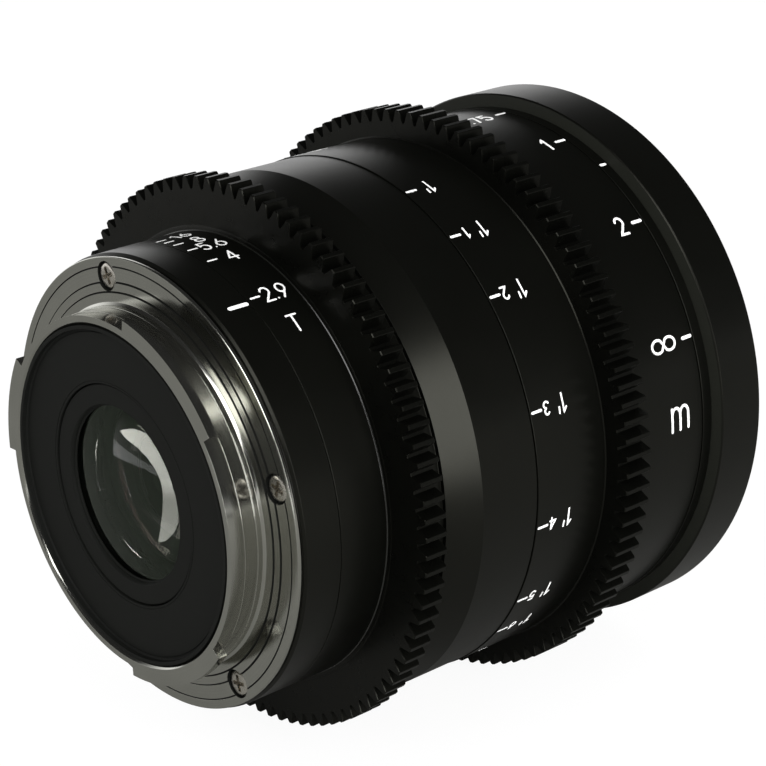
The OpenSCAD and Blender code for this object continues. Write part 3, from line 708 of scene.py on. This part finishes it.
class LENS_OT_barrel(bpy.types.Operator):
    """Fixed black rings from the mount to the filter thread"""

    bl_idname = "lens.barrel"
    bl_label = "Fixed barrel"

    def execute(self, context):
        sizes = context.scene.lens_sizes
        rear = reach("rear_barrel")
        foot = rear.back + 1.2
        collar, tube, seat = 27.4, 29.92, 32.02
        profile = plain([(collar, foot), (seat, foot), (seat, rear.back), (rear.radius - 0.35, rear.back),
                         (rear.radius, rear.back + 0.35), (rear.radius, rear.front), (tube, rear.front),
                         (tube, foot + 3.2), (collar, foot + 3.2)])
        profile[5] = (rear.radius, rear.front, 1)
        turned_piece("rear_barrel_ring", "rear_barrel", profile)

        mid = reach("mid_barrel")
        shell, cone = mid.radius - 2.5, mid.back + 7.8
        foot, lead = mid.radius - 3.05, 2.8
        profile = plain([(tube, mid.back), (foot + 0.5, mid.back), (foot + 0.5, mid.back + lead),
                         (foot + 3.05 * lead / 7.8, mid.back + lead), (mid.radius, cone), (mid.radius, mid.front),
                         (shell, mid.front), (shell, cone + 0.4), (tube, cone + 0.4)])
        turned_piece("cone_barrel", "mid_barrel", profile)

        band, hub = reach("index_band"), 36.52
        profile = plain([(hub, band.back), (band.radius, band.back), (band.radius, band.front - 0.15),
                         (band.radius - 0.15, band.front), (hub, band.front)])
        profile[2] = (*profile[2][:2], 1)
        turned_piece("index_ring", "index_band", profile)

        rim = reach("front_ring")
        thread, recess = 38.5, 37.5
        profile = [(hub, rim.back, 2), (rim.radius - 0.2, rim.back, 0), (rim.radius, rim.back + 0.2, 0),
                   (rim.radius, rim.front - 0.4, 1), (rim.radius - 0.4, rim.front, 0), (thread + 0.4, rim.front, 1),
                   (thread, rim.front - 0.4, 0)]
        pitch = sizes.thread_pitch / MM
        for k in range(3):
            top = rim.front - 0.55 - k * pitch
            profile += [(thread, top, 0), (thread + 0.35, top - 0.3, 0), (thread + 0.35, top - 0.4, 0),
                        (thread, top - 0.68, 0)]
        profile += [(thread, rim.front - 3.0, 0), (recess, rim.front - 3.0, 0), (recess, rim.front - 6.0, 0),
                    (hub, rim.front - 6.0, 0)]
        turned_piece("filter_ring", "front_ring", profile, [*BLACK, "pale_rear_face"], corner=sizes.fine_round)

        lock, bore = reach("front_retainer"), 31.0
        profile = [(bore, lock.back), (lock.radius, lock.back), (lock.radius, lock.front)]
        for k in range(9):
            crest = lock.radius - 0.5 - k * 0.62
            profile += [(crest, lock.front), (crest - 0.5, lock.front - 0.22)]
        profile += [(bore + 0.3, lock.front), (bore, lock.front - 0.3)]
        turned_piece("front_lock_ring", "front_retainer", plain(profile), MATTE, slot="black_matte",
                     corner=sizes.fine_round)
        return {"FINISHED"}


class LENS_OT_turning_rings(bpy.types.Operator):
    """Bodies of the iris ring and the focus ring"""

    bl_idname = "lens.turning_rings"
    bl_label = "Turning rings"

    def execute(self, context):
        iris = reach("iris_ring")
        band, seat, tube = iris.radius - 0.7, IRIS_GEAR.back, 29.95
        profile = plain([(tube, iris.back), (band, iris.back), (band, seat - 0.14), (band + 0.14, seat),
                         (iris.radius, seat), (iris.radius, iris.front), (tube, iris.front)])
        profile[2:4] = [(*profile[2][:2], 1), (*profile[3][:2], 2)]
        turned_piece("iris_scale_ring", "iris_ring", profile, [*BLACK, "geared_black"], "iris_ring")

        focus = reach("focus_ring")
        rear, step = focus.radius - 0.5, FOCUS_GEAR.front
        shell, guide = rear - 2.5, 33.17
        profile = plain([(shell, focus.back), (rear, focus.back), (rear, step), (focus.radius, step),
                         (focus.radius, focus.front), (guide, focus.front), (guide, focus.front - 7.0),
                         (shell, focus.front - 7.0)])
        turned_piece("distance_ring", "focus_ring", profile, body="focus_ring")
        return {"FINISHED"}


def tooth_tree():
    """Straight flanked teeth round a rim: each is a block drawn in to its flanks, tip and ends."""
    number = "NodeSocketFloat"
    tree, sheet, wire = new_tree("gear_teeth", [
        ("Rim", "NodeSocketGeometry"), ("Module", number), ("Width", number), ("Middle", number),
        ("Chamfer", number), ("Teeth", "NodeSocketInt"), ("Finish", "NodeSocketMaterial")])
    block = sheet.node("GeometryNodeMeshCube", {
        "Size": (1.0, 1.0, 1.0), "Vertices X": 2, "Vertices Y": 4, "Vertices Z": 3})
    x, y, z = sheet.axes(sheet.node("GeometryNodeInputPosition"))
    module, chamfer = wire["Module"], wire["Chamfer"]
    end = abs(y) > 0.4
    tip = z > 0.25
    foot = z < -0.25
    height = (1.0 - foot) * (module - chamfer * (1.0 - tip) * 0.7 - chamfer * end) - foot * module * 1.6
    half = module * (math.pi / 4) - height * math.tan(PRESSURE_ANGLE)
    half = half - chamfer * (tip * 0.4 + end * (1.0 - foot) * 0.5)
    station = wire["Middle"] + (2.0 * (y > 0.0) - 1.0) * (wire["Width"] * 0.5 - chamfer * (1.0 - end))
    radius = module * wire["Teeth"] * 0.5 + height
    spot = sheet.vector((2.0 * (x > 0.0) - 1.0) * half, station, radius)
    tooth = sheet.node("GeometryNodeSetPosition", {"Geometry": block, "Position": spot})
    points = sheet.node("GeometryNodePoints", {"Count": wire["Teeth"]})
    angle = sheet.node("GeometryNodeInputIndex") / wire["Teeth"] * (2 * math.pi)
    whole = sheet.node("GeometryNodeJoinGeometry", {0: [wire["Rim"], repeat(sheet, points, tooth, angle)]})
    paint(sheet, whole, wire)
    return tree


class LENS_OT_gears(bpy.types.Operator):
    """Geared rims of the iris ring and the focus ring"""

    bl_idname = "lens.gears"
    bl_label = "Geared rims"

    def execute(self, context):
        sizes = context.scene.lens_sizes
        tree = tooth_tree()
        module = sizes.gear_module / MM
        rows = (("iris_geared_rim", "iris_gear", "iris_ring", IRIS_GEAR, 33.42, 0.03, sizes.iris_teeth),
                ("focus_geared_rim", "focus_gear", "focus_ring", FOCUS_GEAR, 39.02, 0.15, sizes.focus_teeth))
        for name, node, body, gear, bore, lip, teeth in rows:
            root = gear.radius - 2.25 * module
            back, front = gear.back + 0.01, gear.front - 0.01
            profile = plain([(bore - 0.05, back - lip), (bore + 0.02, back - lip), (bore + 0.02 + lip, back),
                             (root, back), (root, front), (bore - 0.05, front)])
            rim = turn(name, soften(profile, sizes.fine_round / MM), ["geared_black"])
            made = grow(name, rim, tree, {
                "Module": sizes.gear_module, "Width": (gear.front - gear.back) * MM,
                "Middle": (gear.front + gear.back) / 2 * MM, "Chamfer": sizes.tooth_chamfer, "Teeth": teeth,
                "Finish": finish("geared_black")})
            fit(even_normals(made), body, "black_anodised", node)
        return {"FINISHED"}


def arc(cx, cy, rx, ry, start, end, steps=14):
    """Points of an elliptic arc between two angles in degrees."""
    turns = [math.radians(start + (end - start) * k / steps) for k in range(steps + 1)]
    return [(cx + rx * math.cos(t), cy + ry * math.sin(t)) for t in turns]


SIX = [(0.41, 1.0), (0.12, 0.52)] + arc(0.275, 0.31, 0.26, 0.31, 160, -200)
EIGHT = [arc(0.275, 0.76, 0.205, 0.24, -90, 270), arc(0.275, 0.27, 0.265, 0.27, 90, 450)]
LOOPS = arc(1.28, 0.5, 0.42, 0.35, -128, 128) + arc(0.42, 0.5, 0.42, 0.35, 308, 52)
LOOPS.append(LOOPS[0])
# Pen strokes of each sign in a box of height 1, after its width
SIGNS = {
    "0": (0.55, [arc(0.275, 0.5, 0.26, 0.5, 90, 450)]),
    "1": (0.32, [[(0.04, 0.76), (0.24, 1.0), (0.24, 0.0)]]),
    "2": (0.55, [arc(0.275, 0.72, 0.25, 0.28, 165, -32) + [(0.02, 0.0), (0.55, 0.0)]]),
    "3": (0.55, [arc(0.26, 0.755, 0.225, 0.245, 150, -90) + arc(0.26, 0.255, 0.26, 0.255, 90, -150)]),
    "4": (0.58, [[(0.42, 0.0), (0.42, 1.0)], [(0.42, 1.0), (0.0, 0.27), (0.58, 0.27)]]),
    "5": (0.55, [[(0.49, 1.0), (0.11, 1.0), (0.07, 0.55)] + arc(0.265, 0.325, 0.265, 0.325, 135, -145)]),
    "6": (0.55, [SIX]),
    "7": (0.52, [[(0.0, 1.0), (0.51, 1.0), (0.17, 0.0)]]),
    "8": (0.55, EIGHT),
    "9": (0.55, [[(0.55 - u, 1.0 - v) for u, v in SIX]]),
    ".": (0.12, [[(0.06, 0.03), (0.061, 0.03)]]),
    "'": (0.12, [[(0.07, 1.0), (0.04, 0.68)]]),
    "T": (0.6, [[(0.0, 1.0), (0.6, 1.0)], [(0.3, 1.0), (0.3, 0.0)]]),
    "m": (0.72, [[(0.0, 0.0), (0.0, 0.74)], arc(0.18, 0.5, 0.18, 0.24, 180, 0) + [(0.36, 0.0)],
                 arc(0.54, 0.5, 0.18, 0.24, 180, 0) + [(0.72, 0.0)]]),
    "inf": (1.7, [LOOPS]),
}


class Print:
    """White print on one ring: strokes laid on its surface as thin ribbons."""

    def __init__(self, name, sizes):
        self.name = name
        self.sizes = sizes
        self.shape = bmesh.new()
        self.lift = 0.0

    def stroke(self, points, half, lay):
        """One pen stroke with round ends; a stroke that ends where it starts is a closed loop."""
        dense = [Vector(points[0])]
        for point in points[1:]:
            start, point = dense[-1], Vector(point)
            steps = max(1, math.ceil((point - start).length / 0.4))
            dense += [start.lerp(point, (k + 1) / steps) for k in range(steps)]
        closed = len(dense) > 3 and (dense[0] - dense[-1]).length < 1e-4
        if closed:
            dense.pop()
        rows = []
        for i, point in enumerate(dense):
            back = dense[i - 1] if i or closed else point
            fore = dense[(i + 1) % len(dense)] if closed or i + 1 < len(dense) else point
            into, away = point - back, fore - point
            into, away = (into if into.length else away).normalized(), (away if away.length else into).normalized()
            along = (into + away).normalized() if (into + away).length > 0.2 else away
            side = Vector((-along.y, along.x)) * half / max(0.6, along.dot(away))
            self.lift += 0.00005
            rows.append((self.shape.verts.new(lay(point + side, self.lift)),
                         self.shape.verts.new(lay(point - side, self.lift)), point, along))
        pairs = list(zip(rows, rows[1:])) + ([(rows[-1], rows[0])] if closed else [])
        for (left, right, _, _), (next_left, next_right, _, _) in pairs:
            self.shape.faces.new((left, right, next_right, next_left))
        if closed:
            return
        for (left, right, point, along), sign in ((rows[0], -1), (rows[-1], 1)):
            across = Vector((-along.y, along.x))
            cap = [point + (along * math.cos(t) + across * math.sin(t)) * sign * half
                   for t in (math.pi * (k / 6 - 0.5) for k in range(1, 6))]
            ends = (right, left) if sign > 0 else (left, right)
            self.shape.faces.new((ends[0], *[self.shape.verts.new(lay(p, self.lift)) for p in cap], ends[1]))

    def surface(self, radius, station, angle, reading):
        """Lays flat points on the ring: reading is 1 for text that runs forwards and -1 for backwards."""
        def lay(point, lift):
            turn_by = angle - reading * point.y / radius
            return on_ring(radius + self.sizes.print_height / MM + lift, station + reading * point.x, turn_by)
        return lay

    def text(self, signs, radius, station, degrees, height, reading=1, shift=0.0, pen=None):
        """A row of signs centred on an angle; shift 0 starts it at a station, 0.5 centres it and 1 ends it there."""
        half = (pen or self.sizes.pen) / MM / 2
        gap = 0.12 * height + half
        width = sum(SIGNS[s][0] * height for s in signs) + gap * (len(signs) - 1)
        start = -width * shift
        lay = self.surface(radius, station, math.radians(degrees), reading)
        for sign in signs:
            for points in SIGNS[sign][1]:
                self.stroke([(start + u * height, (v - 0.5) * height) for u, v in points], half, lay)
            start += SIGNS[sign][0] * height + gap

    def tick(self, radius, back, front, degrees, width):
        """A straight line along the axis."""
        lay = self.surface(radius, back, math.radians(degrees), 1)
        half = width / 2
        self.stroke([(half, 0.0), (front - back - half, 0.0)], half, lay)

    def done(self, body):
        bmesh.ops.remove_doubles(self.shape, verts=self.shape.verts, dist=1e-8)
        made = place(self.name, to_mesh(self.name, self.shape, ["white_paint"]))
        wall = made.modifiers.new("print_wall", "SOLIDIFY")
        wall.thickness = 0.05 * MM
        wall.offset = -1.0
        return fit(settle(made), body, None)


class LENS_OT_scales(bpy.types.Operator):
    """White scales on the iris ring and the focus ring, and the marks that they are read against"""

    bl_idname = "lens.scales"
    bl_label = "Scales"

    def execute(self, context):
        sizes = context.scene.lens_sizes
        iris = reach("iris_ring")
        band, digits = iris.radius - 0.7, sizes.iris_digits / MM
        stops = Print("iris_scale_print", sizes)
        for signs, angle in (("2.9", 24.9), ("4", 8.2), ("5.6", 0.5), ("8", -5.1), ("", -8.9), ("16", -12.2)):
            stops.tick(band, iris.back + 0.5, iris.back + 2.2, angle, 0.3)
            stops.text(signs, band, iris.back + 4.55, angle, digits, 1, 0.5)
        stops.text("T", band, iris.back + 3.4, 34.7, 2.6)
        stops.done("iris_ring")

        focus = reach("focus_ring")
        rear, large = focus.radius - 0.5, sizes.feet_digits / MM
        scale = Print("distance_scale_print", sizes)
        feet = (("9", "", -45.0), ("10", "", -20.0), ("1'", "", 17.0), ("1'", "1", 31.7), ("1'", "2", 46.8),
                ("1'", "3", 71.3), ("1'", "4", 96.0), ("1'", "5", 115.5), ("1'", "6", 126.5), ("2'", "", 145.0),
                ("3'", "", 166.0), ("5'", "", 188.0), (["inf"], "", 215.5))
        for foot, inch, angle in feet:
            scale.tick(rear, focus.back + 0.2, focus.back + 2.2, angle, 0.38)
            scale.text(foot, rear, focus.back + (6.75 if inch else 3.5), angle, large, -1, 0.0 if inch else 1.0)
            if inch:
                scale.text(inch, rear, focus.back + 3.55, angle, 1.75, -1)
        metres = (([".", "7", "5"], -3.5), ("1", 15.0), ("2", 41.0), (["inf"], 67.3), ([".", "5"], -37.9),
                  ([".", "4"], -64.2), ([".", "3"], -108.0), ([".", "2", "5"], -143.0), ([".", "2"], -195.7))
        for signs, angle in metres:
            scale.tick(focus.radius, focus.front - 2.2, focus.front - 0.1, angle, 0.5)
            scale.text(signs, focus.radius, focus.front - 3.6, angle, sizes.metre_digits / MM, 1, 1.0, 0.37 * MM)
        scale.text("m", focus.radius, focus.front - 6.3, 82.5, 4.6, pen=0.42 * MM)
        scale.done("focus_ring")

        marks = Print("index_print", sizes)
        rear_ring, band_ring, mid = reach("rear_barrel"), reach("index_band"), reach("mid_barrel")
        marks.tick(rear_ring.radius, rear_ring.front - 3.45, rear_ring.front - 0.1, math.degrees(sizes.iris_index),
                   0.62)
        marks.tick(band_ring.radius, band_ring.back + 0.15, band_ring.front - 0.45,
                   math.degrees(sizes.distance_index), 0.5)
        marks.tick(mid.radius, mid.front - 2.2, mid.front - 0.15, 173.5, 0.5)
        marks.done("barrel")
        return {"FINISHED"}


def bowl(base, rise, steps=20):
    """Depth of a spherical face at even steps from its middle to its rim."""
    bend = abs(rise)
    ball = (base * base + bend * bend) / (2 * bend)
    rows = [base * k / steps for k in range(steps + 1)]
    return [(r, math.copysign(math.sqrt(ball * ball - r * r) - ball + bend, rise)) for r in rows]


class LENS_OT_glass(bpy.types.Operator):
    """Six coated elements with smooth spherical faces"""

    bl_idname = "lens.glass"
    bl_label = "Glass"

    def execute(self, context):
        rose, green = ["rose_glass"], ["green_glass"]
        rows = (("rear_glass", "rear_element", "barrel", 0.6, -2.4, green + ["clear_glass"]),
                ("rear_inner_glass", "rear_inner_element", "barrel", 1.6, 1.6, rose),
                ("focus_rear_glass", "focus_rear_element", "focus_group", -1.6, 1.6, green),
                ("focus_front_glass", "focus_front_element", "focus_group", 2.0, 2.6, rose),
                ("second_glass", "second_element", "barrel", -4.4, 2.6, rose),
                ("front_glass", "front_element", "barrel", -3.4, 2.0, green))
        for name, node, body, back, fore, coats in rows:
            span = reach(node)
            base = span.radius - 1.5
            foot, top = span.back + max(back, 0.0), span.front - max(fore, 0.0)
            profile = [(r, foot - rise) for r, rise in bowl(base, back)]
            half = len(profile)
            profile += [(span.radius - 0.1, foot), (span.radius, foot + 0.1), (span.radius, top - 0.1),
                        (span.radius - 0.1, top)]
            profile += [(r, top + rise) for r, rise in reversed(bowl(base, fore))]
            profile = plain(profile[:half]) + [(r, y, len(coats) - 1) for r, y in profile[half:]]
            mesh = turn(name, profile, coats, 144)
            mesh.set_sharp_from_angle(angle=math.radians(20))
            fit(place(name, mesh), body, "coated_glass", node)
        return {"FINISHED"}


class LENS_OT_inner_parts(bpy.types.Operator):
    """Finishes on the solids that are kept as they are"""

    bl_idname = "lens.inner_parts"
    bl_label = "Inner parts"

    def execute(self, context):
        kept = {
            "dull_brass": ["mount_shim", "focus_drive_key", "focus_guide_pins"],
            "nickel_steel": ["iris_drive_pin"],
            "blade_black": [f"iris_blade_{k}" for k in range(1, 6)],
            "satin_black": ["main_tube", "focus_helicoid"],
            "matte_black": ["rear_cell", "rear_spacer", "iris_plate", "iris_cam_ring", "iris_retainer", "focus_cell",
                            "focus_spacer", "focus_retainer", "front_cell", "second_retainer"],
        }
        for kind, nodes in kept.items():
            for node in nodes:
                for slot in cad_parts[node].material_slots:
                    slot.material = finish(kind)
        return {"FINISHED"}


def softbox(name, place_at, aim, width, height, power):
    """A rectangular lamp that points at the lens."""
    lamp = bpy.data.lights.new(name, "AREA")
    lamp.shape = "RECTANGLE"
    lamp.size, lamp.size_y, lamp.energy = width, height, power
    made = place(name, lamp)
    made.location = place_at
    made.rotation_euler = (Vector(aim) - Vector(place_at)).to_track_quat("-Z", "Y").to_euler()
    made.visible_camera = False
    return made


def flat_card(name, points, faces, made):
    """A plain sheet of the stage, from corner points and faces."""
    mesh = bpy.data.meshes.new(name)
    mesh.from_pydata(points, [], faces)
    mesh.materials.append(made)
    return place(name, mesh)


def square(low, high, level):
    """Corners of a level square."""
    (left, back), (right, front) = low, high
    return [(left, back, level), (right, back, level), (right, front, level), (left, front, level)]


def floor_finish(stage):
    """Pale floor that looks white behind the lens and keeps its shadow."""
    made, sheet = new_finish("pale_floor")
    path = sheet.node("ShaderNodeLightPath", out="Is Camera Ray")
    seen = path + sheet.also(path, "Is Glossy Ray") + sheet.also(path, "Is Transmission Ray")
    paper = sheet.node("ShaderNodeBsdfDiffuse", {"Color": rgba(stage.floor)})
    white = sheet.node("ShaderNodeEmission", {"Color": (1.0, 1.0, 1.0, 1.0), "Strength": 1.03})
    both = sheet.node("ShaderNodeMixShader", {0: (seen > 0.5) * 0.9, 1: paper, 2: white})
    sheet.surface(both)
    return made


def grey_card(stage, level):
    """Grey card under the lens that only reflections see, so that the black and the chrome keep their depth."""
    made, sheet = new_finish("grey_card")
    through = sheet.node("ShaderNodeLightPath", out="Is Transmission Ray")
    paper = sheet.node("ShaderNodeBsdfDiffuse", {"Color": sheet.tone(through, stage.card, 1.0, 0.15)})
    sheet.surface(paper)
    card = flat_card("grey_card", square((-0.3, -0.5), (3.0, 3.0), level), [(0, 1, 2, 3)], made)
    card.visible_camera = card.visible_diffuse = card.visible_shadow = False
    return card


# Inner and outer edge of the bright card: across and up in its own upright plane, then x and y on the floor
CARD_UPRIGHT = (((-0.149, -0.069), (-0.086, -0.005)), ((-0.098, -0.046), (-0.05, 0.022)),
                ((-0.051, -0.019), (-0.014, 0.029)), ((-0.019, -0.007), (0.017, 0.025)),
                ((0.01, -0.005), (0.048, 0.012)), ((0.032, -0.013), (0.077, -0.008)))
CARD_FLAT = (((-0.024, -0.143), (0.0105, -0.158)), ((-0.018, -0.106), (0.0127, -0.11)),
             ((-0.013, -0.072), (0.0102, -0.071)), ((-0.011, -0.038), (0.0044, -0.049)),
             ((-0.011, -0.024), (-0.0056, -0.029)))


def glow_card(stage, level):
    """Bent bright card behind the mount that only the glass sees: its mirror image is a crescent."""
    made, sheet = new_finish("glow_card")
    _, _, height = sheet.axes(sheet.node("ShaderNodeTexCoord", out="Object"))
    part = sheet.node("ShaderNodeMapRange", {
        "Value": height, "From Min": level, "From Max": level + 0.025, "To Min": 0.5, "To Max": 1.0})
    glow = sheet.node("ShaderNodeEmission", {"Color": (1.0, 1.0, 0.9, 1.0), "Strength": part * stage.glow})
    sheet.surface(glow)
    middle = Vector((-0.047, -0.141, 0.011))
    facing = (Vector((0.005, 0.0, 0.005)) - middle).to_track_quat("-Z", "Y")
    facing = facing @ Quaternion((0.0, 0.0, 1.0), math.radians(-33))
    points = [middle + facing @ Vector((across, up, 0.0)) for pair in CARD_UPRIGHT for across, up in pair]
    points += [Vector((x, y, level)) for pair in CARD_FLAT for x, y in pair]
    card = flat_card("glow_card", points, [(k, k + 1, k + 3, k + 2) for k in range(0, len(points) - 2, 2)], made)
    card.visible_camera = card.visible_diffuse = card.visible_glossy = card.visible_shadow = False
    return card


def room(stage):
    """Even fill light; the camera sees white, and metal sees a white horizon under a dark ceiling."""
    world = bpy.data.worlds.new("studio")
    world.use_nodes = True
    world.node_tree.nodes.clear()
    sheet = Sheet(world.node_tree)
    path = sheet.node("ShaderNodeLightPath", out="Is Camera Ray")
    through = sheet.also(path, "Is Transmission Ray")
    mirrored = sheet.also(path, "Is Glossy Ray") + through
    right, front, up = sheet.axes(sheet.node("ShaderNodeTexCoord", out="Generated"))
    behind = front * -1.0
    rear = behind > 0.0
    ceiling = sheet.node("ShaderNodeMapRange", {
        "Value": up + right * 0.2 + behind * rear * 0.3, "From Min": -0.08, "From Max": 0.34, "To Min": 1.4,
        "To Max": 0.03}, interpolation_type="SMOOTHSTEP")
    ceiling = ceiling * (1.0 - through * rear * 0.85)
    shiny = mirrored > 0.5
    level = path + (1.0 - path) * (shiny * ceiling + (1.0 - shiny) * stage.fill)
    back = sheet.node("ShaderNodeBackground", {"Color": (1.0, 1.0, 1.0, 1.0), "Strength": level})
    sheet.node("ShaderNodeOutputWorld", {"Surface": back})
    return world


class LENS_OT_stage(bpy.types.Operator):
    """Floor, lamps, surroundings and the camera"""

    bl_idname = "lens.stage"
    bl_label = "Stage"

    def execute(self, context):
        scene, stage = context.scene, context.scene.lens_stage
        ground = -FOCUS_GEAR.radius * MM
        flat_card("floor", square((-6, -6), (6, 6), ground), [(0, 1, 2, 3)], floor_finish(stage))
        grey_card(stage, ground + 0.5 * MM)
        middle = (0.0, 0.036, 0.0)
        key = softbox("key_softbox", (0.27, -0.72, 0.56), middle, 0.5, 0.5, stage.key_power)
        key.visible_transmission = False
        softbox("side_softbox", (0.62, -0.01, 0.19), middle, 0.34, 0.56, stage.side_power)
        glow_card(stage, ground + MM)
        scene.world = room(stage)
        scene.view_settings.view_transform = "Standard"
        data = bpy.data.cameras.new("camera")
        data.lens, data.sensor_width = stage.focal, 36.0
        data.clip_start, data.clip_end = 0.01, 50.0
        camera = place("camera", data)
        camera.location = stage.camera_place
        camera.rotation_euler = (-Vector(stage.camera_back)).to_track_quat("-Z", "Y").to_euler()
        scene.camera = camera
        return {"FINISHED"}


STEPS = (LENS_OT_mount, LENS_OT_mount_screws, LENS_OT_rear_window, LENS_OT_barrel, LENS_OT_turning_rings,
         LENS_OT_gears, LENS_OT_scales, LENS_OT_glass, LENS_OT_inner_parts, LENS_OT_stage)


class LENS_PT_panel(bpy.types.Panel):
    """Sizes, finishes and building steps of the lens"""

    bl_idname = "LENS_PT_panel"
    bl_label = "Cinema prime lens"
    bl_space_type = "VIEW_3D"
    bl_region_type = "UI"
    bl_category = "Lens"

    def draw(self, context):
        scene = context.scene
        for group in (scene.lens_sizes, scene.lens_finishes, scene.lens_stage):
            box = self.layout.box()
            for key in group.__annotations__:
                box.prop(group, key)
        for step in STEPS:
            self.layout.operator(step.bl_idname)


GROUPS = {"lens_sizes": LensSizes, "lens_finishes": LensFinishes, "lens_stage": LensStage}


def register():
    for kind in (*GROUPS.values(), *STEPS, LENS_PT_panel):
        bpy.utils.register_class(kind)
    for name, kind in GROUPS.items():
        setattr(bpy.types.Scene, name, PointerProperty(type=kind))


def unregister():
    for name in GROUPS:
        delattr(bpy.types.Scene, name)
    for kind in (LENS_PT_panel, *reversed(STEPS), *reversed(GROUPS.values())):
        bpy.utils.unregister_class(kind)


def main():
    register()
    bpy.ops.lens.mount()
    bpy.ops.lens.mount_screws()
    bpy.ops.lens.rear_window()
    bpy.ops.lens.barrel()
    bpy.ops.lens.turning_rings()
    bpy.ops.lens.gears()
    bpy.ops.lens.scales()
    bpy.ops.lens.glass()
    bpy.ops.lens.inner_parts()
    bpy.ops.lens.stage()


if __name__ == "__main__":
    main()
